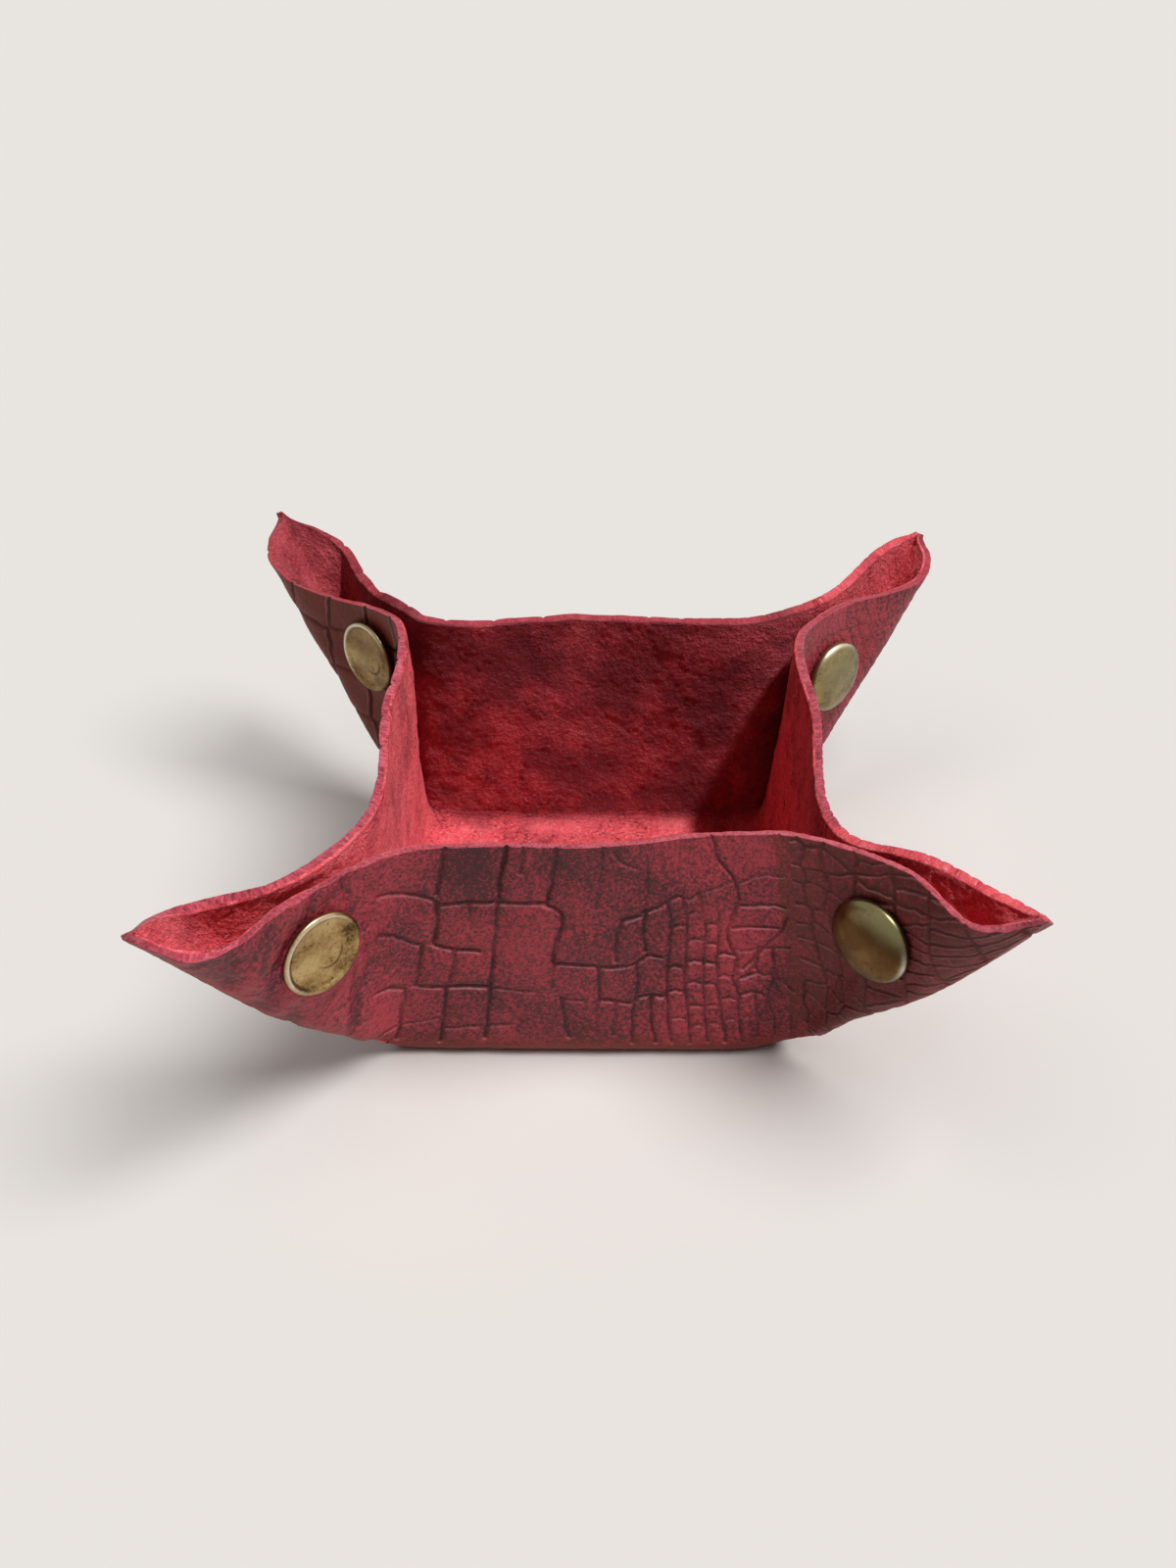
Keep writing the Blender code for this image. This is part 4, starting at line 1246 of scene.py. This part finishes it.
def linear(hexColour):
    parts = [int(hexColour[i:i + 2], 16) / 255 for i in (1, 3, 5)]
    return tuple(c / 12.92 if c <= 0.04045 else ((c + 0.055) / 1.055) ** 2.4 for c in parts) + (1.0,)


def fillInputs(tree, node, inputs):
    for name, value in inputs.items():
        if isinstance(value, bpy.types.NodeSocket):
            tree.links.new(value, node.inputs[name])
        else:
            node.inputs[name].default_value = value


def addNode(tree, kind, inputs=None, out=0, stops=None, **settings):
    # Adds a shader node, sets it up, links or fills its inputs and gives one of its outputs;
    # stops are the places of a ramp's colours
    node = tree.nodes.new("ShaderNode" + kind)
    for name, value in settings.items():
        setattr(node, name, value)
    fillInputs(tree, node, inputs or {})
    if stops:
        ramp = node.color_ramp.elements
        while len(ramp) < len(stops):
            ramp.new(0.5)
        for element, (place, colour) in zip(ramp, stops):
            element.position = place
            element.color = linear(colour) if isinstance(colour, str) else (colour,) * 3 + (1.0,)
    return node.outputs[out]


noiseBump = 0.6  # size of the bumps of a noise of scale 1


def newMaterial(name, patterns=None, marks=(), onHide=True):
    # A material, its shader and what its look is made from: marks that the mesh carries, the
    # place on the piece in mm, and random patterns over it, each with the size of its bumps
    # in mm, its detail, roughness and seed
    material = bpy.data.materials.new(name)
    material.use_nodes = True
    tree = material.node_tree
    source = {mark: addNode(tree, "Attribute", out="Fac", attribute_name=mark) for mark in marks}
    if patterns and onHide:
        source["place"] = addNode(tree, "Attribute", out="Vector", attribute_name="hidePlace")
    elif patterns:
        place = addNode(tree, "TexCoord", out="Object")
        source["place"] = addNode(tree, "Mapping", {"Vector": place, "Scale": (1 / mm, 1 / mm, 1 / mm)})
    for key, (size, detail, rough, seed) in (patterns or {}).items():
        inputs = {"Vector": source["place"], "Scale": noiseBump / size, "Detail": detail, "Roughness": rough,
                  "W": seed}
        source[key] = addNode(tree, "TexNoise", inputs, noise_dimensions="4D")
    return material, tree, tree.nodes["Principled BSDF"], source


def weighted(tree, parts, start=0.0):
    # A start value and further values, each times its weight
    total = start
    for value, weight in parts:
        total = addNode(tree, "Math", {0: value, 1: weight, 2: total}, operation="MULTIPLY_ADD")
    return total


def product(tree, first, *factors):
    total = first
    for factor in factors:
        total = addNode(tree, "Math", {0: total, 1: factor}, operation="MULTIPLY")
    return total


def bell(tree, value, middle, width):
    # Bell curve of a value: 1 at its middle
    offset = weighted(tree, ((value, 1 / width),), -middle / width)
    return addNode(tree, "Math", {0: product(tree, offset, offset, -1.0)}, operation="EXPONENT")


def coated(tree, colour, coats):
    # Lays further colours over a colour, each by its own share
    for share, coat in coats:
        colour = addNode(tree, "Mix", {0: share, 6: colour, 7: linear(coat)}, out=2, data_type="RGBA")
    return colour


grain = {
    "dark": "#471c22", "body": "#7f2c36", "red": "#b53c48", "groove": "#260c10", "edgeHighlight": "#cf9096",
    "brownTanAndShade": "#80321f",
    "stops": (0.59, 0.73, 0.88), "toneStart": -0.27,
    "speckled": 1.45, "mottled": 0.50, "toned": 0.08,
    "tanAndShadeShare": 0.85, "waxAndShade": 0.92, "paintedHighlight": 1.5,
    # Width of the grooves' dark wax and painted shade, and place and width of the painted highlight below
    # them
    "grooveWidth": 0.34, "edgeHighlightPlace": 0.62, "edgeHighlightWidth": 0.20,
    "patterns": {
        "mottle": (11.0, 3.0, 0.5, 1.0), "speckle": (0.34, 4.0, 0.75, 2.0), "pore": (0.34, 2.0, 0.5, 3.0),
        "coarse": (1.1, 3.0, 0.5, 4.0), "patchy": (5.0, 2.0, 0.5, 5.0),
    },
}


def grainMaterial():
    # Cowhide embossed by a heated plate and wax finished, with a soft sheen and fine pores: dark wax in the
    # grooves, which also stands in for their painted shade, more painted shade beside the grooves, in the
    # soft folds and on some ear layers, painted light on others, and a painted highlight along the top edges
    # of the scales
    material, tree, shader, source = newMaterial(
        "wax finished embossed cowhide", grain["patterns"], hideMarks)
    tone = weighted(tree, ((source["mottle"], grain["mottled"]), (source["tone"], grain["toned"]),
                           (source["speckle"], grain["speckled"])), grain["toneStart"])
    colours = zip(grain["stops"], (grain["dark"], grain["body"], grain["red"]))
    colour = addNode(tree, "ValToRGB", {"Fac": tone}, stops=list(colours))
    # Dark wax in the grooves, partly painted shade of the recess
    groove = bell(tree, source["gap"], 0.0, grain["grooveWidth"])
    groove = product(tree, groove, source["depth"], grain["waxAndShade"])
    # Painted highlight: a pale line along the top edge of each scale, just below a groove above it
    edgeHighlight = bell(tree, source["gap"], grain["edgeHighlightPlace"], grain["edgeHighlightWidth"])
    edgeHighlight = product(tree, edgeHighlight, source["patchy"], source["facing"], grain["paintedHighlight"])
    # Tan near the folds, and brown painted shade on the ear layers that face away from the light
    brownTanAndShade = product(tree, source["fold"], grain["tanAndShadeShare"])
    colour = coated(tree, colour, ((brownTanAndShade, grain["brownTanAndShade"]), (groove, grain["groove"]), (edgeHighlight, grain["edgeHighlight"])))
    height = weighted(tree, ((source["coarse"], 0.6),), source["pore"])
    bump = addNode(tree, "Bump", {"Height": height, "Strength": 0.8, "Distance": 0.22 * mm})
    rough = addNode(tree, "MapRange", {0: source["speckle"], 1: 0.3, 2: 0.7, 3: 0.42, 4: 0.62})
    fillInputs(tree, shader, {"Base Color": colour, "Roughness": rough, "Normal": bump, "IOR": 1.45,
                              "Specular IOR Level": 0.34})
    return material


suede = {
    "dark": "#7e1f27", "body": "#e4525c", "bright": "#f76f76", "fleck": "#fb9b9f", "colourMarks": "#5c262d",
    # shade is the colour of the painted shade over the back wall
    "shade": "#57222a", "sheen": "#e88088",
    "stops": (0.36, 0.47, 0.60),
    "fleckStops": ((0.58, 0.0), (0.70, 0.65)), "stainStops": ((0.52, 0.0), (0.64, 0.5)),
    # The painted shade over the back wall: where it starts, how it fades on the ears, and its patches
    "backWallShadeFrom": (30.0, 38.0),  # mm behind the middle of the floor
    "backWallShadeSides": ((43.0, 50.0, 0.1), (-43.0, -50.0, 0.75)),  # from, to and the share beyond
    "backWallShadeStops": ((0.38, 0.45), (0.58, 0.80)),
    "patterns": {
        "nap": (0.55, 3.0, 0.75, 11.0), "fleck": (0.32, 1.0, 0.5, 12.0), "patch": (3.2, 3.0, 0.6, 13.0),
        "blotch": (10.0, 4.0, 0.62, 14.0), "backWallShadeNoise": (7.0, 4.0, 0.6, 15.0),
    },
}


def suedeMaterial():
    # The napped flesh side, dyed crimson: short fibres scatter the light softly, lie in
    # patches that look lighter or darker, and hold dark stains
    material, tree, shader, source = newMaterial("napped suede flesh side", suede["patterns"])
    tone = weighted(tree, ((source["patch"], 0.45), (source["nap"], 0.55)))
    colours = zip(suede["stops"], (suede["dark"], suede["body"], suede["bright"]))
    colour = addNode(tree, "ValToRGB", {"Fac": tone}, stops=list(colours))
    flecks = addNode(tree, "ValToRGB", {"Fac": source["fleck"]}, stops=suede["fleckStops"])
    colourMarks = addNode(tree, "ValToRGB", {"Fac": source["blotch"]}, stops=suede["stainStops"])
    # Painted shade: the suede over the back wall is painted darker in uneven patches, little of it on the
    # right ear and most of it on the left ear
    x, y = (addNode(tree, "SeparateXYZ", {"Vector": source["place"]}, out=axis) for axis in "XY")
    start, full = suede["backWallShadeFrom"]
    backWallShade = addNode(tree, "MapRange", {0: y, 1: start, 2: full, 3: 0.0, 4: 1.0})
    for start, full, share in suede["backWallShadeSides"]:
        aside = addNode(tree, "MapRange", {0: x, 1: start, 2: full, 3: 1.0, 4: share})
        backWallShade = product(tree, backWallShade, aside)
    backWallShadeNoise = addNode(tree, "ValToRGB", {"Fac": source["backWallShadeNoise"]}, stops=suede["backWallShadeStops"])
    backWallShade = product(tree, backWallShade, backWallShadeNoise)
    colour = coated(tree, colour, ((flecks, suede["fleck"]), (colourMarks, suede["colourMarks"]),
                                   (backWallShade, suede["shade"])))
    height = weighted(tree, ((source["fleck"], 0.5),), source["nap"])
    bump = addNode(tree, "Bump", {"Height": height, "Strength": 1.0, "Distance": 0.6 * mm})
    fillInputs(tree, shader, {"Base Color": colour, "Roughness": 1.0, "Normal": bump,
                              "Specular IOR Level": 0.15, "Sheen Weight": 0.35, "Sheen Roughness": 0.45,
                              "Sheen Tint": linear(suede["sheen"])})
    return material


rawEdge = {
    "pale": "#d66876", "body": "#ba4353", "dark": "#7a2632", "handled": "#3f1a1c", "back": "#a8323f",
    "stops": (0.36, 0.48, 0.60),
    "backFrom": (20.0, 60.0), "backShare": 0.6,  # mm behind the middle of the floor
    "handledFrom": (160.0, 171.0), "handledShare": 0.75,  # mm towards a corner, x and y added
    "patterns": {"fibre": (0.32, 3.0, 0.7, 21.0), "wide": (4.0, 2.0, 0.5, 22.0)},
}


def edgeMaterial():
    # The raw cut through the hide: packed fibres dyed paler than the faces, with dark pits,
    # and darkened by hands at the tips
    material, tree, shader, source = newMaterial("raw cut leather edge", rawEdge["patterns"])
    tone = weighted(tree, ((source["wide"], 0.3), (source["fibre"], 0.7)))
    colours = zip(rawEdge["stops"], (rawEdge["dark"], rawEdge["body"], rawEdge["pale"]))
    colour = addNode(tree, "ValToRGB", {"Fac": tone}, stops=list(colours))
    start, full = rawEdge["backFrom"]
    back = addNode(tree, "SeparateXYZ", {"Vector": source["place"]}, out="Y")
    back = addNode(tree, "MapRange", {0: back, 1: start, 2: full, 3: 0.0, 4: rawEdge["backShare"]})
    flat = addNode(tree, "VectorMath", {0: source["place"]}, operation="ABSOLUTE")
    x, y = (addNode(tree, "SeparateXYZ", {"Vector": flat}, out=axis) for axis in "XY")
    start, full = rawEdge["handledFrom"]
    handled = addNode(tree, "Math", {0: x, 1: y}, operation="ADD")
    handled = addNode(tree, "MapRange", {0: handled, 1: start, 2: full, 3: 0.0, 4: rawEdge["handledShare"]})
    colour = coated(tree, colour, ((back, rawEdge["back"]), (handled, rawEdge["handled"])))
    bump = addNode(tree, "Bump", {"Height": source["fibre"], "Strength": 0.8, "Distance": 0.25 * mm})
    fillInputs(tree, shader, {"Base Color": colour, "Roughness": 0.9, "Normal": bump,
                              "Specular IOR Level": 0.2, "Sheen Weight": 0.3})
    return material


brass = {
    "body": "#aa8a58", "pale": "#ccb37c", "brown": "#5c4020", "green": "#737456", "spot": "#2e2013",
    "paintedHighlight": "#ece8d2",
    # Over the front right cap a painted reflection: dark green towards its top, brown below, with a painted
    # dark band between
    "halved": "front_right",  # this cap is green and dark towards its top and brown below
    "halvedCap": {
        "slope": 0.25, "from": 2.0, "over": 4.2, "greenTint": (0, 0.75), "brownAndShade": (0.95, -0.35),
        "tarnishAndShade": 0.66, "bandSlope": 0.3, "band": 3.4, "bandWidth": 1.9, "bandFrom": -4, "bandOver": 5,
    },
    # Brown and green tint by stud: partly patina, partly painted shade, browner on the studs that face away
    # from the key light
    "brownAndShade": {"front_left": 0.16, "front_right": 0.72, "back_left": 0.72, "back_right": 0.05},
    "greenTint": {"front_left": 0.05, "front_right": 0.35, "back_left": 0.00, "back_right": 0.65},
    "stops": (0.38, 0.47, 0.60), "spotStops": ((0.66, 0.0), (0.74, 0.8)),
    "tintVariation": (0.2, 1.6), "tarnishAndShadeShare": 0.85, "highlightLimit": 0.9,
    "patterns": {
        "cloud": (2.6, 4.0, 0.6, 31.0), "fine": (0.30, 3.0, 0.7, 32.0), "spot": (0.7, 2.0, 0.5, 33.0),
        "tintNoise": (4.5, 2.0, 0.5, 34.0),
    },
}


def brassMaterial():
    # Stamped brass with an antique finish, finely scratched, so its reflections are broad and uneven: tinted
    # brown and green by stud, partly as patina and partly as painted shade and painted reflection, tarnished,
    # with painted shade by the set mark, and painted highlights along the rims
    marks = ("brownAndShade", "greenTint", "tarnishAndShade", "paintedHighlight")
    material, tree, shader, source = newMaterial(
        "antiqued stamped brass", brass["patterns"], marks, onHide=False)
    tone = weighted(tree, ((source["fine"], 0.3), (source["cloud"], 0.7)))
    colours = zip(brass["stops"], (brass["brown"], brass["body"], brass["pale"]))
    colour = addNode(tree, "ValToRGB", {"Fac": tone}, stops=list(colours))
    least, more = brass["tintVariation"]
    tintVariation = weighted(tree, ((source["tintNoise"], more),), least)
    spots = addNode(tree, "ValToRGB", {"Fac": source["spot"]}, stops=brass["spotStops"])
    # Painted highlight, uneven with the cloud pattern
    paintedHighlight = product(tree, source["paintedHighlight"], weighted(tree, ((source["cloud"], 1.0),), 0.3))
    paintedHighlight = addNode(tree, "Math", {0: paintedHighlight, 1: brass["highlightLimit"]}, operation="MINIMUM")
    # Tints by stud, partly patina and partly painted shade and painted reflection, spots, tarnish together
    # with painted shade, and painted highlights
    colour = coated(tree, colour, (
        (product(tree, source["brownAndShade"], tintVariation), brass["brown"]),
        (product(tree, source["greenTint"], tintVariation), brass["green"]),
        (spots, brass["spot"]),
        (product(tree, source["tarnishAndShade"], brass["tarnishAndShadeShare"]), brass["spot"]),
        (paintedHighlight, brass["paintedHighlight"]),
    ))
    bump = addNode(tree, "Bump", {"Height": source["fine"], "Strength": 0.25, "Distance": 0.04 * mm})
    rough = addNode(tree, "MapRange", {0: tone, 1: 0.35, 2: 0.65, 3: 0.42, 4: 0.24})
    fillInputs(tree, shader, {"Base Color": colour, "Roughness": rough, "Normal": bump, "Metallic": 1.0})
    return material


studio = {
    "floor": "#ece8e4", "floorSize": 8,
    "world": 0.10, "backdrop": 0.97,  # the world's strength for the object's light, and as it is seen
    "lamps": {
        "key_sun": {"strength": 2.85, "way": (0.372, -0.19, 1.0), "angle": 4.0, "lights": "tray"},
        "side_sun": {"strength": 0.40, "way": (0.90, -0.10, 1.0), "angle": 50.0, "lights": "tray"},
        "paper_sun": {"strength": 2.38, "way": (0.55, -0.16, 1.0), "angle": 34.0, "lights": "paper"},
        "paper_fill": {"strength": 0.76, "way": (-0.25, -0.30, 1.0), "angle": 50.0, "lights": "paper"},
    },
}


def makeStudio():
    paper, tree, shader, source = newMaterial("pale matt backdrop paper")
    fillInputs(tree, shader, {"Base Color": linear(studio["floor"]), "Roughness": 1.0,
                              "Specular IOR Level": 0.0})
    bpy.ops.mesh.primitive_plane_add(size=studio["floorSize"])
    ground = bpy.context.object
    ground.name = "studio_floor"
    ground.data.materials.append(paper)

    # The tray has a crisp key light, the paper under it a broad one for soft shadows
    lit = {name: bpy.data.collections.new("lit_" + name) for name in ("tray", "paper")}
    lit["paper"].objects.link(ground)
    for name, settings in studio["lamps"].items():
        lamp = bpy.data.lights.new(name, "SUN")
        lamp.energy = settings["strength"]
        lamp.angle = math.radians(settings["angle"])
        sun = bpy.data.objects.new(name, lamp)
        sun.rotation_euler = Vector(settings["way"]).to_track_quat("Z", "Y").to_euler()
        bpy.context.scene.collection.objects.link(sun)
        sun.light_linking.receiver_collection = lit[settings["lights"]]

    world = bpy.data.worlds.new("studio_world")
    bpy.context.scene.world = world
    world.use_nodes = True
    tree = world.node_tree
    background = tree.nodes["Background"]
    seen = addNode(tree, "LightPath", out="Is Camera Ray")
    for ray in ("Is Glossy Ray", "Is Transmission Ray"):
        seen = addNode(tree, "Math", {0: seen, 1: addNode(tree, "LightPath", out=ray)}, operation="MAXIMUM")
    strength = addNode(tree, "MapRange", {0: seen, 3: studio["world"], 4: studio["backdrop"]})
    fillInputs(tree, background, {"Color": linear(studio["floor"]), "Strength": strength})
    return lit["tray"]


# The photograph's viewing angle
photoView = {
    "place": (-0.67 * mm, -253.04 * mm, 210.34 * mm),
    "pitch": 34.818, "yaw": -0.152, "roll": 0.208,
    "focalPixels": 1709.27, "imageHeight": 1600, "sensorHeight": 36.0,
    "clipStart": 10 * mm,
}


def makeCamera():
    camera = bpy.data.cameras.new("photo_view")
    camera.sensor_fit = "VERTICAL"
    camera.sensor_height = photoView["sensorHeight"]
    camera.lens = camera.sensor_height * photoView["focalPixels"] / photoView["imageHeight"]
    camera.clip_start = photoView["clipStart"]
    pitch, yaw, roll = (math.radians(photoView[key]) for key in ("pitch", "yaw", "roll"))
    ahead = Vector((math.sin(yaw) * math.cos(pitch), math.cos(yaw) * math.cos(pitch), -math.sin(pitch)))
    right = Vector((math.cos(yaw), -math.sin(yaw), 0))
    above = right.cross(ahead)
    rolledRight = right * math.cos(roll) + above * math.sin(roll)
    rolledAbove = above * math.cos(roll) - right * math.sin(roll)
    turn = Matrix((rolledRight, rolledAbove, -ahead)).transposed().to_4x4()
    view = bpy.data.objects.new("photo_view", camera)
    view.matrix_world = Matrix.Translation(photoView["place"]) @ turn
    bpy.context.scene.collection.objects.link(view)
    bpy.context.scene.camera = view


makeCamera()
litTray = makeStudio()
print("camera and studio placed")
hideMaterials = [grainMaterial(), suedeMaterial(), edgeMaterial()]
brassFinish = brassMaterial()
print("materials made")
makeFloor(hideMaterials)
for wall in walls:
    makeWall(wall, hideMaterials)
print("floor and walls of hide made")
for corner in cornerSigns:
    makeEar(corner, hideMaterials)
print("ears of hide made")
for count, (wall, shape) in enumerate(walls.items()):
    first, second = shape["corners"]
    makeDisc(wall, first, brassFinish, stud["discSeed"] + stud["seedStep"] * count)
    makeStud(wall, first, brassFinish)
    makeCap(wall, second, brassFinish, stud["capSeed"] + stud["seedStep"] * count)
    makeSocket(wall, second, brassFinish)
print("press studs made")
bpy.context.scene.view_settings.view_transform = "Standard"
